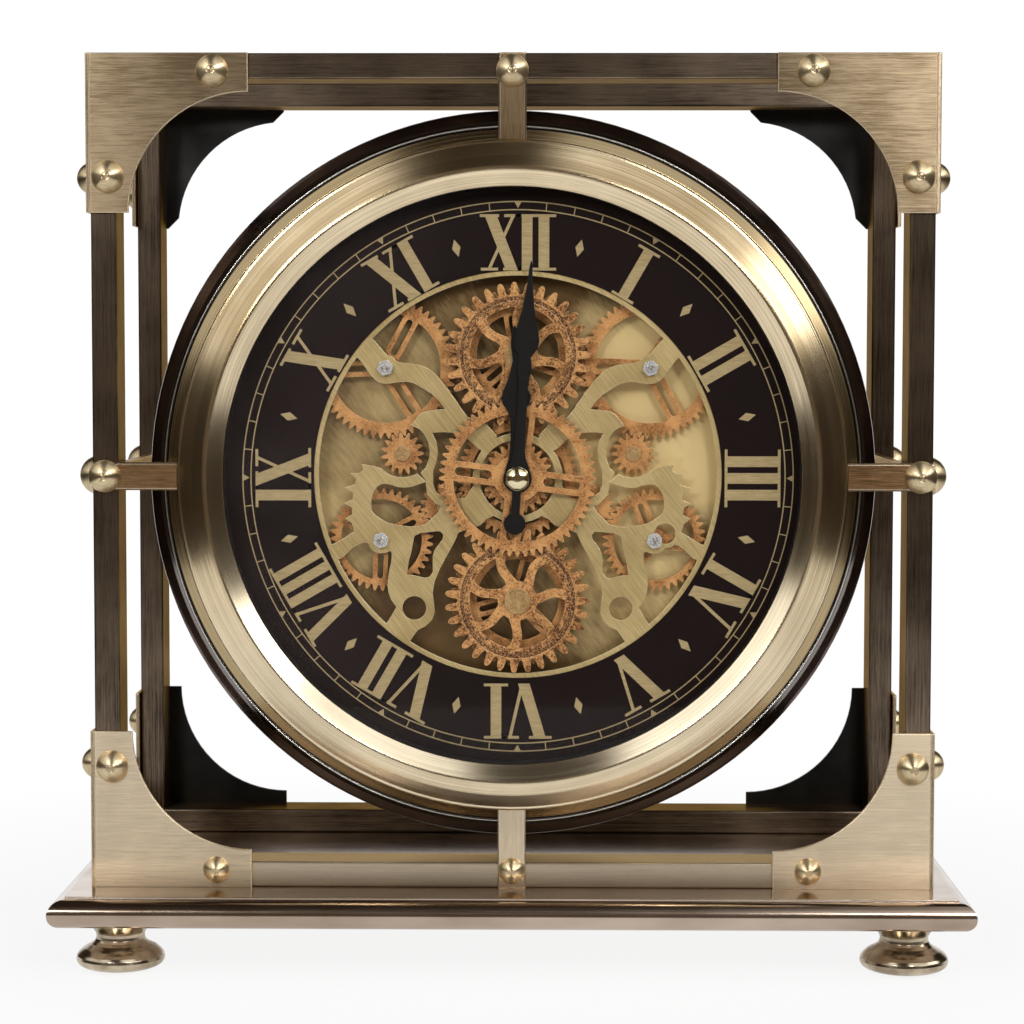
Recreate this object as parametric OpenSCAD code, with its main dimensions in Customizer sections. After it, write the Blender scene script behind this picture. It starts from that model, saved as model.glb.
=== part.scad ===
// Gear desk clock. A round drum with an open skeleton movement hangs on four straps in a
// square tube frame, which stands on a slab with four turned feet.
// Millimetres, +Z up, the dial faces -Y, origin at the middle of the footprint under the feet.

/* [Frame] */
// outside width of the square frame
frame_w = 330; // [200:1:500]
// outside height of the square frame
frame_h = 328; // [200:1:500]
// front face of the front tubes to rear face of the rear tubes
frame_d = 140; // [80:1:240]
// width of a tube seen from the front
tube_w = 10; // [6:0.5:20]
// depth of a tube
tube_d = 20; // [10:0.5:40]
// wall of a tube
tube_wall = 1.2; // [0.6:0.1:3]
// rounding radius along the tube edges
tube_edge = 0.8; // [0.2:0.1:3]

/* [Corner plates] */
// length of each leg of a corner plate
leg_l = 62; // [30:0.5:110]
// width of a leg at its end
leg_w = 15; // [8:0.5:30]
// thickness of the corner plates
plate_t = 1.5; // [0.8:0.1:4]
// corner cut off the leg ends of the upper rear plates
tip_cut = 4.5; // [0.5:0.1:10]
// length in depth of a side plate leg
side_leg_l = 46; // [25:0.5:60]
// width in depth of the upright leg of a side plate
side_leg_w = 27; // [15:0.5:40]

/* [Ball nuts] */
// radius of a ball nut
ball_r = 6.6; // [3:0.1:12]
// radius of the smaller ball nuts along the bottom
ball_small_r = 5.5; // [3:0.1:12]
// radius of the big ball nuts at half height
ball_big_r = 8; // [4:0.1:14]
// height of a domed ball nut above its plate, as a share of its radius
ball_share = 0.84; // [0.4:0.01:1.8]
// radius of the turned dimple in a ball nut
ball_dimple_r = 1.6; // [0.5:0.1:3]
// distance of a ball nut from the corner along a leg
ball_along = 48; // [20:0.5:90]
// distance of a ball nut from the outer edge
ball_in = 7; // [4:0.1:14]
// distance in depth of the ball nuts on the depth rails
ball_deep = 31; // [15:0.5:50]

/* [Straps] */
// width of a strap
strap_w = 11; // [6:0.1:20]
// thickness of a strap
strap_t = 2; // [1:0.1:4]
// distance of the drum axis below the middle of the frame
drum_drop = 1; // [0:0.1:10]
// thickness of the tie bars at half height
tie_t = 3; // [1.5:0.1:6]

/* [Base] */
// overhang of the base slab beyond the frame at each side
base_side = 15; // [0:0.5:60]
// overhang of the base slab in front of and behind the frame
base_front = 27.5; // [0:0.5:80]
// thickness of the base slab
base_t = 12; // [6:0.1:30]
// height of the rim plate on top of the slab
rim_t = 1; // [0.5:0.1:6]
// inset of the rim plate from the nosing
rim_in = 6.3; // [2:0.1:15]
// radius of the nosing
nose_r = 5.5; // [2:0.1:8]

/* [Feet] */
// height of a foot with its pad
foot_h = 20.5; // [8:0.1:50]
// radius of the flare of a foot
flare_r = 17.4; // [8:0.1:40]
// radius of the pads under the feet
pad_r = 6; // [3:0.1:12]
// inset of a foot axis from the edges of the slab
foot_in = 25; // [15:0.1:60]
// thickness of the pad under a foot
pad_t = 1; // [0.5:0.1:4]

/* [Drum] */
// gap between the drum and the nearer tubes, before the drop
drum_gap = 10; // [2:0.1:40]
// width from the bezel to the largest radius of the drum
drum_step = 12.5; // [6:0.1:25]
// width from the bezel to the first bead of the drum
bead_step = 5.4; // [4:0.1:6]
// width of the outer slope of the bezel
outer_slope = 11.5; // [8:0.1:20]
// width of the inner slope of the bezel
inner_slope = 6.8; // [3.5:0.1:15]
// height of the ridge in front of the tubes
ridge_h = 10; // [8:0.1:20]
// depth of the drum behind the front of the tubes
drum_d = 34; // [20:0.1:120]
// wall of the drum
drum_wall = 1.2; // [0.6:0.1:3]
// thickness of the glass
glass_t = 2; // [1:0.1:4]

/* [Dial] */
// depth of the front of the skeleton plate behind the front of the tubes
dial_y = 6; // [2:0.1:20]
// sideways shift of the dial in the drum
dial_dx = 2.1; // [0:0.1:4]
// upward shift of the dial in the drum
dial_dz = 0.3; // [0:0.1:4]
// drop of the movement below the dial centre
move_drop = 1.1; // [0:0.1:4]
// lap of the dial ring behind the bezel
dial_lap = 2.7; // [1:0.1:6]
// radius of the window as a share of the radius of the dial ring
window_share = 0.678; // [0.5:0.001:0.75]
// width of the brass lip left visible around the window
lip_w = 1.9; // [0.5:0.1:5]
// thickness of the skeleton plate
skel_t = 1.2; // [0.6:0.1:3]
// thickness of the chapter ring
chapter_t = 0.4; // [0.2:0.1:2]
// depth from the skeleton plate to the back plate
plate_gap = 6.8; // [4:0.1:20]

/* [Gear train] */
// gap between the coarse wheels and the edge of the window
window_gap = 1.38; // [0.1:0.01:5]
// pressure angle of the teeth in degrees
press_angle = 22; // [14.5:0.5:25]
// play between the flanks of meshing teeth
flank_play = 0.26; // [0.05:0.01:0.6]
// teeth of the rear centre gear
teeth_center = 46; // [20:1:90]
// teeth of the front centre gear
teeth_front = 60; // [20:1:90]
// teeth of the small centre gear
teeth_small = 26; // [12:1:60]
// teeth of the fine gears behind the coarse wheels
teeth_fine = 51; // [20:1:90]
// teeth of the upper side gears
teeth_upper = 54; // [20:1:90]
// teeth of the pinions
teeth_pinion = 15; // [10:1:30]
// teeth of the idlers
teeth_idler = 17; // [10:1:30]
// teeth of the lower side gears
teeth_lower = 39; // [20:1:90]
// teeth of the coarse wheels
teeth_coarse = 31; // [15:1:60]
// tip radius of the coarse wheels in modules
coarse_share = 28.7; // [25:0.1:32]
// direction of the left upper side gear seen from the upper wheel
upper_angle = 185.6; // [160:0.1:220]
// direction of the left pinion seen from its side gear
pinion_angle = 281; // [240:0.1:300]
// direction of the left idler seen from the centre
idler_angle = 202; // [180:0.1:240]
// direction of the left lower gear seen from its idler
lower_angle = 207.4; // [180:0.1:240]
// thickness of the gears in the mesh layer
mesh_t = 2; // [1:0.1:4]
// running play of a bore on its arbor
run_play = 0.05; // [0.02:0.01:0.1]

/* [Hands] */
// reach of the minute hand beyond the edge of the window
minute_reach = 6.6; // [0:0.1:20]
// distance of the hour hand's tip from the edge of the window
hour_short = 18.6; // [8:0.1:30]
// angle of the minute hand at rest, clockwise from twelve
minute_rest = 3.6; // [-180:0.1:180]
// angle of the hour hand at rest, clockwise from twelve
hour_rest = -1.1; // [-180:0.1:180]
// thickness of a hand
hand_t = 0.6; // [0.3:0.1:2]

/* [Movement box] */
// side of the movement box
box_s = 56; // [40:1:80]
// width of the gear motor
motor_w = 44; // [20:1:80]
// height of the gear motor
motor_h = 30; // [15:1:60]

/* [Hidden] */
mm = 1;
over = 0.5*mm;
gap = 0.3*mm;
round_fn = 96;
fine_fn = 48;
base_w = frame_w + 2*base_side;
base_d = frame_d + 2*base_front;
drum_r = min(frame_w, frame_h)/2 - tube_w - drum_gap;
bezel_r = drum_r - drum_step;
bead_r = bezel_r + bead_step;
ridge_r = bezel_r - outer_slope;
sight_r = ridge_r - inner_slope;
dial_r = sight_r + dial_lap;
window_r = window_share*dial_r;
minute_l = window_r + minute_reach;
hour_l = window_r - hour_short;
// the module lets the train fill the window
gear_mod = (window_r - window_gap)/((teeth_center + teeth_fine)/2 + coarse_share);
coarse_r = coarse_share*gear_mod;
deck_z = foot_h + base_t;
front_y = -frame_d/2;
drum_z = deck_z + frame_h/2 - drum_drop;
dial_z = drum_z + dial_dz;
move_z = dial_z - move_drop;
half_w = frame_w/2;
strap_end = bezel_r - 5.2*mm;
pocket_r = dial_r + dial_dx + 0.5*mm;
skel_back = dial_y + skel_t;
plate_y = skel_back + plate_gap;
mesh_y = skel_back + 2*mm;
mesh_back = mesh_y + mesh_t;
wheel_t = 1.5*mm;
wheel_back = dial_y - 0.6*mm;
wheel_y = wheel_back - wheel_t;
front_t = 1.3*mm;
front_back = wheel_y - 0.7*mm;
front_gear_y = front_back - front_t;
hour_back = front_gear_y - 0.7*mm;
minute_back = hour_back - hand_t - 0.6*mm;
cap_back = minute_back - hand_t;
pin_r = 1.5*mm;
tube_share = 4;
pipe_share = 2.6;
shaft_share = 1.4;
tube_r = tube_share*gear_mod;
pipe_r = pipe_share*gear_mod;
shaft_r = shaft_share*gear_mod;
hub_r = tube_r;

d_fine = (teeth_center + teeth_fine)*gear_mod/2;
d_upper = (teeth_fine + teeth_upper)*gear_mod/2;
d_pinion = (teeth_upper + teeth_pinion)*gear_mod/2;
d_idler = (teeth_center + teeth_idler)*gear_mod/2;
d_lower = (teeth_idler + teeth_lower)*gear_mod/2;

function toward(d, a) = [d*cos(a), d*sin(a)];
function flip(a) = 180 - a;
pos_up = [0, d_fine];
pos_low = [0, -d_fine];
function pos_upper(left) = pos_up + toward(d_upper, left ? upper_angle : flip(upper_angle));
function pos_pinion(left) = pos_upper(left) + toward(d_pinion, left ? pinion_angle : flip(pinion_angle));
function pos_idler(left) = toward(d_idler, left ? idler_angle : flip(idler_angle));
function pos_lower(left) = pos_idler(left) + toward(d_lower, left ? lower_angle : flip(lower_angle));

// turn of gear b so that it meshes with gear a in direction t
function meshed(za, pa, zb, t) = t + 180 - 180/zb - (pa - t)*za/zb;
turn_center = 90;
turn_up = meshed(teeth_center, turn_center, teeth_fine, 90);
turn_low = meshed(teeth_center, turn_center, teeth_fine, 270);
function turn_upper(left) = meshed(teeth_fine, turn_up, teeth_upper, left ? upper_angle : flip(upper_angle));
function turn_pinion(left) =
  meshed(teeth_upper, turn_upper(left), teeth_pinion, left ? pinion_angle : flip(pinion_angle));
function turn_idler(left) = meshed(teeth_center, turn_center, teeth_idler, left ? idler_angle : flip(idler_angle));
function turn_lower(left) =
  meshed(teeth_idler, turn_idler(left), teeth_lower, left ? lower_angle : flip(lower_angle));

brass = [0.72, 0.62, 0.42];
copper = [0.72, 0.45, 0.25];
dark = [0.1, 0.08, 0.07];
bronze = [0.55, 0.47, 0.36];

// puts a flat drawing that looks toward the viewer so that its back lies at depth y
module at_face(y, x = 0, z = 0) {
  translate([x, front_y + y, z])
    rotate([90, 0, 0])
      children();
}

// drum centre, dial centre and movement centre
module on_drum(y) {
  at_face(y, 0, drum_z) children();
}

module on_dial(y) {
  at_face(y, dial_dx, dial_z) children();
}

module on_move(y, p = [0, 0]) {
  at_face(y, dial_dx + p[0], move_z + p[1]) children();
}

// involute tooth form
function inv(a) = tan(a)*180/PI - a;
function tooth_half(r, z) =
  let (rp = z*gear_mod/2)
  let (rb = rp*cos(press_angle))
  let (aa = r > rb ? acos(rb/r) : 0)
  90/z - flank_play/(2*rp)*90/PI + inv(press_angle) - inv(aa);

flank_n = 5;
function gear_points(z, phase) =
  let (rp = z*gear_mod/2)
  let (rt = rp + 0.95*gear_mod)
  let (rr = rp - 1.25*gear_mod)
  let (rb = max(rp*cos(press_angle), rr))
  [for (i = [0:z - 1])
    let (a = phase + i*360/z)
    each concat(
      [toward(rr, a - tooth_half(rb, z) - 20/z)],
      [for (k = [0:flank_n])
        let (r = rb + (rt - rb)*k/flank_n)
        toward(r, a - tooth_half(r, z))],
      [for (k = [flank_n:-1:0])
        let (r = rb + (rt - rb)*k/flank_n)
        toward(r, a + tooth_half(r, z))],
      [toward(rr, a + tooth_half(rb, z) + 20/z)])];

module gear_disc(z, t, phase) {
  linear_extrude(t)
    polygon(gear_points(z, phase));
}

// windows between double bar spokes, and the slot inside each spoke
arc_n = 12;
function edge_turn(r, w) = asin(w/2/r);
function window_points(r_out, r_in, bar_w, n, turn) = concat(
  [for (k = [0:arc_n])
    let (e = edge_turn(r_out, bar_w))
    toward(r_out, turn + e + (360/n - 2*e)*k/arc_n)],
  [for (k = [arc_n:-1:0])
    let (e = edge_turn(r_in, bar_w))
    toward(r_in, turn + e + (360/n - 2*e)*k/arc_n)]);
function slot_points(r_out, r_in, w, turn) = concat(
  [for (k = [0:6]) toward(r_out - w/2, turn) + toward(w/2, turn - 90 + 30*k)],
  [for (k = [0:6]) toward(r_in + w/2, turn) + toward(w/2, turn + 90 + 30*k)]);

function cut_points(r_out, r_in, bar_w, slot_w, n, turn) = [for (i = [0:n - 1])
  each [window_points(r_out, r_in, bar_w, n, turn + i*360/n),
    slot_points(r_out - 0.5*gear_mod, r_in + 0.9*gear_mod, slot_w, turn + i*360/n)]];

// one outline with its holes, as points and paths
function starts(sets, i) = i == 0 ? 0 : starts(sets, i - 1) + len(sets[i - 1]);
module outline(sets, t) {
  linear_extrude(t)
    polygon([for (s = sets) each s],
      [for (i = [0:len(sets) - 1]) [for (k = [0:len(sets[i]) - 1]) starts(sets, i) + k]]);
}

module spoked_gear(z, t, phase, rim, hub, bar_w, slot_w, n, turn, bore) {
  difference() {
    outline(concat([gear_points(z, phase)],
      cut_points(z*gear_mod/2 - 1.25*gear_mod - rim, hub, bar_w, slot_w, n, turn)), t);
    translate([0, 0, -over])
      cylinder(r = bore, h = t + 2*over, $fn = fine_fn);
  }
}

// frame tube with rounded long edges, closed at its ends
module bar(w, d, l) {
  difference() {
    linear_extrude(l) {
      square([w - 2*tube_edge, d], center = true);
      square([w, d - 2*tube_edge], center = true);
      for (s = [-1, 1])
        for (t = [-1, 1])
          translate([s*(w/2 - tube_edge), t*(d/2 - tube_edge)])
            circle(r = tube_edge, $fn = fine_fn);
    }
    translate([-w/2 + tube_wall, -d/2 + tube_wall, tube_wall])
      cube([w - 2*tube_wall, d - 2*tube_wall, l - 2*tube_wall]);
  }
}

module upright(side, y) {
  translate([side*(half_w - tube_w/2), y, deck_z])
    bar(tube_w, tube_d, frame_h);
}

module cross_bar(z, y) {
  translate([-half_w + tube_w, y, z])
    rotate([0, 90, 0])
      bar(tube_w, tube_d, frame_w - 2*tube_w);
}

front_tube_y = front_y + tube_d/2;
rear_tube_y = -front_tube_y;
top_z = deck_z + frame_h;

module tube_front_left() {
  color(bronze) upright(-1, front_tube_y);
}

module tube_front_right() {
  color(bronze) upright(1, front_tube_y);
}

module tube_front_top() {
  color(bronze) cross_bar(top_z - tube_w/2, front_tube_y);
}

module tube_front_bottom() {
  color(bronze) cross_bar(deck_z + tube_w/2, front_tube_y);
}

module tube_rear_left() {
  color(bronze) upright(-1, rear_tube_y);
}

module tube_rear_right() {
  color(bronze) upright(1, rear_tube_y);
}

module tube_rear_top() {
  color(bronze) cross_bar(top_z - tube_w/2, rear_tube_y);
}

module tube_rear_bottom() {
  color(bronze) cross_bar(deck_z + tube_w/2, rear_tube_y);
}

module depth_rails() {
  color(bronze)
    for (s = [-1, 1])
      for (z = [deck_z + tube_w/2, top_z - tube_w/2])
        translate([s*(half_w - tube_w/2), front_y + tube_d, z])
          rotate([-90, 0, 0])
            bar(tube_w, tube_w, frame_d - 2*tube_d);
}

// slanted corner at the inner end of a leg of length l and width w
module tip_corner(l, w, cut) {
  polygon([[l - cut - over, w + over], [l + over, w + over], [l + over, w - cut - over]]);
}

// flat corner plate in the first quadrant, corner at the origin
module corner_plate(lx, ly, wx, wy, cut = 0) {
  ax = min(lx - wy, ly - wx);
  difference() {
    cube([lx, ly, plate_t]);
    if (cut > 0)
      translate([0, 0, -over])
        linear_extrude(plate_t + 2*over) {
          tip_corner(lx, wx, cut);
          mirror([1, -1])
            tip_corner(ly, wy, cut);
        }
    translate([wy + ax, wx + ax, -over])
      cylinder(r = ax, h = plate_t + 2*over, $fn = round_fn);
    translate([wy + ax, wx, -over])
      cube([lx, ly, plate_t + 2*over]);
    translate([wy, wx + ax, -over])
      cube([lx, ly, plate_t + 2*over]);
  }
}

module gussets_front() {
  color(brass)
    for (s = [-1, 1])
      for (t = [-1, 1])
        translate([s*half_w, front_y - plate_t, deck_z + frame_h/2 + t*frame_h/2])
          scale([-s, 1, -t])
            rotate([90, 0, 0])
              translate([0, 0, -plate_t])
                corner_plate(leg_l, leg_l, leg_w, leg_w);
}

module gussets_rear() {
  color(dark)
    for (s = [-1, 1])
      for (t = [-1, 1])
        translate([s*half_w, -front_y, deck_z + frame_h/2 + t*frame_h/2])
          scale([-s, 1, -t])
            rotate([90, 0, 0])
              translate([0, 0, -plate_t])
                corner_plate(leg_l, leg_l, leg_w, leg_w, t > 0 ? tip_cut : 0);
}

module side_plates(s) {
  for (t = [-1, 1])
    for (u = [-1, 1])
      translate([s*half_w, u*(frame_d/2 + plate_t), deck_z + frame_h/2 + t*frame_h/2])
        scale([s, -u, -t])
          rotate([90, 0, 90])
            corner_plate(side_leg_l, leg_l, leg_w, side_leg_w);
}

module gussets_left() {
  color(brass) side_plates(-1);
}

module gussets_right() {
  color(brass) side_plates(1);
}

// domed ball nut seated at the origin, standing along +Z
module ball(r) {
  difference() {
    translate([0, 0, (ball_share - 1)*r])
      sphere(r = r, $fn = fine_fn);
    translate([0, 0, -2*r])
      cylinder(r = 2*r, h = 2*r, $fn = fine_fn);
    translate([0, 0, ball_share*r - 0.35*mm])
      cylinder(r = ball_dimple_r, h = r, $fn = fine_fn);
  }
}

module front_ball(x, z, r, t) {
  translate([x, front_y - t, z])
    rotate([90, 0, 0])
      ball(r);
}

module rear_ball(x, z, r, t) {
  translate([x, -front_y + t, z])
    rotate([-90, 0, 0])
      ball(r);
}

module side_ball(s, y, z, r, t) {
  translate([s*(half_w + t), y, z])
    rotate([0, s*90, 0])
      ball(r);
}

module balls_front() {
  color(brass)
    for (s = [-1, 1]) {
      front_ball(s*(half_w - ball_along), top_z - ball_in, ball_r, plate_t);
      front_ball(s*(half_w - ball_in), top_z - ball_along, ball_r, plate_t);
      front_ball(s*(half_w - ball_in), deck_z + ball_along, ball_r, plate_t);
      front_ball(s*(half_w - tube_w/2), drum_z, ball_r, strap_t);
    }
  color(brass)
    front_ball(0, top_z - ball_in, ball_r, strap_t);
}

module balls_small() {
  color(brass)
    for (s = [-1, 1])
      front_ball(s*(half_w - ball_along), deck_z + ball_in, ball_small_r, plate_t);
  color(brass)
    front_ball(0, deck_z + ball_in, ball_small_r, strap_t);
}

module balls_of_side(s) {
  for (u = [-1, 1]) {
    for (z = [deck_z + ball_along, top_z - ball_along])
      side_ball(s, u*front_tube_y, z, ball_r, plate_t);
    for (z = [deck_z + ball_in, top_z - ball_in])
      side_ball(s, u*(front_y + ball_deep), z, ball_small_r, plate_t);
    side_ball(s, u*front_tube_y, drum_z, ball_big_r, 0);
  }
}

module balls_left() {
  color(brass) balls_of_side(-1);
}

module balls_right() {
  color(brass) balls_of_side(1);
}

module balls_rear() {
  color(brass)
    for (s = [-1, 1])
      for (t = [-1, 1]) {
        rear_ball(s*(half_w - ball_along), deck_z + frame_h/2 + t*(frame_h/2 - ball_in), ball_r, plate_t);
        rear_ball(s*(half_w - ball_in), deck_z + frame_h/2 + t*(frame_h/2 - ball_along), ball_r, plate_t);
      }
}

// straps from the tubes to the drum, with chamfered long edges
module strap(l) {
  c = strap_t/3;
  translate([0, l, 0])
    rotate([90, 0, 0])
      linear_extrude(l)
        polygon([[-strap_w/2, 0], [strap_w/2, 0], [strap_w/2, strap_t - c], [strap_w/2 - c, strap_t],
          [-strap_w/2 + c, strap_t], [-strap_w/2, strap_t - c]]);
}

strap_top_l = top_z - drum_z - strap_end;
strap_bottom_l = drum_z - deck_z - strap_end;
strap_side_l = half_w - strap_end;

module strap_top() {
  color(brass)
    at_face(0, 0, drum_z + strap_end)
      strap(strap_top_l);
}

module strap_bottom() {
  color(brass)
    at_face(0, 0, deck_z)
      strap(strap_bottom_l);
}

module strap_left() {
  color(brass)
    at_face(0, -strap_end, drum_z)
      rotate([0, 0, 90])
        strap(strap_side_l);
}

module strap_right() {
  color(brass)
    at_face(0, strap_end, drum_z)
      rotate([0, 0, -90])
        strap(strap_side_l);
}

module tie_bars() {
  color(bronze)
    for (s = [-1, 1])
      translate([s*(half_w - tube_w - tie_t/2) - tie_t/2, front_y, drum_z - strap_w/2])
        cube([tie_t, frame_d, strap_w]);
}

// base
base_hw = base_w/2 - nose_r;
base_hd = base_d/2 - nose_r;
slab_t = base_t - rim_t;

// slab with a rounded nosing along both long edges
module slab_run(l, hd) {
  translate([-l/2, -hd, 0])
    cube([l, 2*hd, slab_t]);
  for (s = [-1, 1])
    translate([-l/2, s*hd, slab_t/2])
      rotate([0, 90, 0])
        cylinder(r = nose_r, h = l, $fn = fine_fn);
}

module base() {
  color(bronze)
    translate([0, 0, foot_h]) {
      intersection() {
        slab_run(base_w, base_hd);
        rotate([0, 0, 90])
          slab_run(base_d, base_hw);
      }
      translate([-base_w/2 + rim_in, -base_d/2 + rim_in, slab_t/2])
        cube([base_w - 2*rim_in, base_d - 2*rim_in, base_t - slab_t/2]);
    }
}

foot_x = base_w/2 - foot_in;
foot_y = base_d/2 - foot_in;
foot_shares = [[0, 1], [0.72, 1], [0.7, 0.9], [0.62, 0.8], [0.56, 0.72], [0.545, 0.66], [0.555, 0.6],
  [0.585, 0.55], [0.65, 0.495], [0.75, 0.445], [0.83, 0.41], [0.895, 0.365], [0.95, 0.315], [0.985, 0.265],
  [1, 0.205], [0.99, 0.15], [0.96, 0.1], [0.9, 0.06], [0.8, 0.025], [0.68, 0.008], [0.5, 0], [0, 0]];

module foot(s, t) {
  translate([s*foot_x, t*foot_y, pad_t])
    rotate_extrude($fn = round_fn)
      polygon([for (p = foot_shares) [p[0]*flare_r, p[1]*(foot_h - pad_t)]]);
}

module foot_front_left() {
  color(brass) foot(-1, -1);
}

module foot_front_right() {
  color(brass) foot(1, -1);
}

module foot_rear_left() {
  color(brass) foot(-1, 1);
}

module foot_rear_right() {
  color(brass) foot(1, 1);
}

module foot_pads() {
  color(dark)
    for (s = [-1, 1])
      for (t = [-1, 1])
        translate([s*foot_x, t*foot_y, 0])
          cylinder(r = pad_r, h = pad_t, $fn = fine_fn);
}

// drum, all profiles as radius and height in front of the tubes
ledge_r = dial_r - 5*mm;
seat_r = sight_r + 2.4*mm;

module drum_shell() {
  color(dark)
    on_drum(0)
      rotate_extrude($fn = round_fn)
        polygon([[pocket_r, 0], [bezel_r + 0.4*mm, 0], [bead_r - 0.9*mm, -2.8*mm],
          [bead_r - 0.7*mm, -3.3*mm], [bead_r - 0.4*mm, -3.3*mm], [bead_r - 0.25*mm, -2.7*mm],
          [bead_r + 0.1*mm, -2.6*mm], [bead_r + 0.35*mm, -3.2*mm], [bead_r + 0.6*mm, -4.2*mm],
          [bead_r + 1.1*mm, -5.2*mm], [bead_r + 2.6*mm, -8.6*mm],
          [drum_r - 1.4*mm, -11.6*mm], [drum_r - 0.3*mm, -12.8*mm], [drum_r, -14*mm],
          [drum_r, -drum_d], [drum_r - drum_wall, -drum_d], [drum_r - drum_wall, -14.4*mm],
          [drum_r - 2.2*mm, -12.8*mm], [bead_r + 1.6*mm, -9.4*mm], [bead_r - 0.4*mm, -6.2*mm],
          [bead_r - 1*mm, -4.8*mm], [bead_r - 1.6*mm, -3.9*mm], [bezel_r + 0.2*mm, -drum_wall],
          [pocket_r + drum_wall, -drum_wall], [pocket_r + drum_wall, -skel_back - drum_wall],
          [ledge_r, -skel_back - drum_wall], [ledge_r, -skel_back], [pocket_r, -skel_back]]);
}

cover_t = 1.2*mm;
box_back = drum_d + 0.8*mm;

module rear_cover() {
  color(dark)
    on_drum(drum_d) {
      difference() {
        cylinder(r = drum_r - drum_wall, h = cover_t, $fn = round_fn);
        translate([dial_dx - box_s/2 - 2*mm, dial_dz - move_drop - box_s/2 - 2*mm, -over])
          cube([box_s + 4*mm, box_s + 4*mm, cover_t + 2*over]);
      }
      for (a = [45:90:315])
        rotate([0, 0, a])
          translate([drum_r - 7*mm, 0, -1.2*mm])
            cylinder(r = 3*mm, h = 1.2*mm, $fn = fine_fn);
    }
}

module bezel() {
  color(brass)
    on_drum(0)
      rotate_extrude($fn = round_fn)
        polygon([[pocket_r, 0], [strap_end, 0], [strap_end, strap_t], [bezel_r - 0.5*mm, strap_t],
          [bezel_r, strap_t + 0.5*mm], [bezel_r, strap_t + 1.6*mm], [bezel_r - 0.6*mm, strap_t + 2.3*mm],
          [bezel_r - 1.4*mm, strap_t + 2.5*mm], [bezel_r - 3*mm, ridge_h - 4.4*mm],
          [ridge_r + 5*mm, ridge_h - 2.2*mm], [ridge_r + 2*mm, ridge_h - 0.7*mm],
          [ridge_r + 0.8*mm, ridge_h - 0.15*mm], [ridge_r, ridge_h], [ridge_r - 0.8*mm, ridge_h - 0.15*mm],
          [ridge_r - 2.6*mm, ridge_h - 1.3*mm], [sight_r + 0.6*mm, ridge_h - 3.8*mm],
          [sight_r, ridge_h - 4.2*mm], [sight_r, ridge_h - 4.6*mm], [seat_r, ridge_h - 4.6*mm],
          [seat_r, 0]]);
}

glass_front = ridge_h - 4.6*mm;

module glass() {
  color([0.8, 0.9, 0.95, 0.3])
    on_drum(-glass_front + glass_t)
      cylinder(r = seat_r, h = glass_t, $fn = round_fn);
}

module inner_ring() {
  color(dark)
    on_drum(dial_y - chapter_t)
      difference() {
        cylinder(r = seat_r, h = dial_y - chapter_t + glass_front - glass_t, $fn = round_fn);
        translate([0, 0, -over])
          cylinder(r = sight_r + 0.2*mm, h = dial_y + glass_front + 2*over, $fn = round_fn);
      }
}

module chapter_ring() {
  color([0.18, 0.1, 0.08])
    on_dial(dial_y)
      difference() {
        cylinder(r = dial_r, h = chapter_t, $fn = round_fn);
        translate([0, 0, -over])
          cylinder(r = window_r + lip_w, h = chapter_t + 2*over, $fn = round_fn);
      }
}

// skeleton plate, drawn as shares of the window radius around the movement centre
arm_shares = [[-0.85, 0.78], [-0.717, 0.687], [-0.682, 0.644], [-0.657, 0.617], [-0.623, 0.59], [-0.584, 0.577],
  [-0.537, 0.573], [-0.497, 0.567], [-0.457, 0.553], [-0.423, 0.53], [-0.397, 0.503], [-0.37, 0.47],
  [-0.337, 0.427], [-0.303, 0.38], [-0.277, 0.34], [-0.25, 0.306], [-0.159, 0.271], [-0.102, 0.21],
  [-0.154, 0.124], [-0.194, 0.144], [-0.254, 0.198], [-0.303, 0.223], [-0.363, 0.23], [-0.43, 0.227],
  [-0.41, 0.187], [-0.402, 0.147], [-0.402, 0.113], [-0.41, 0.075], [-0.425, 0.035], [-0.424, -0.035],
  [-0.41, -0.07], [-0.378, -0.095], [-0.323, -0.11], [-0.313, -0.174], [-0.383, -0.144], [-0.41, -0.129],
  [-0.437, -0.102], [-0.456, -0.083], [-0.459, -0.049], [-0.463, -0.01], [-0.488, 0.025], [-0.463, 0.05],
  [-0.444, 0.1], [-0.441, 0.137], [-0.449, 0.18], [-0.466, 0.214], [-0.493, 0.246], [-0.537, 0.263],
  [-0.51, 0.297], [-0.49, 0.32], [-0.464, 0.335], [-0.43, 0.34], [-0.397, 0.343], [-0.364, 0.347],
  [-0.397, 0.39], [-0.43, 0.42], [-0.464, 0.443], [-0.497, 0.463], [-0.53, 0.478], [-0.564, 0.483],
  [-0.597, 0.48], [-0.63, 0.475], [-0.657, 0.472], [-0.684, 0.475], [-0.71, 0.487], [-0.737, 0.513],
  [-0.763, 0.55], [-0.79, 0.59], [-0.88, 0.66]];
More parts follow.
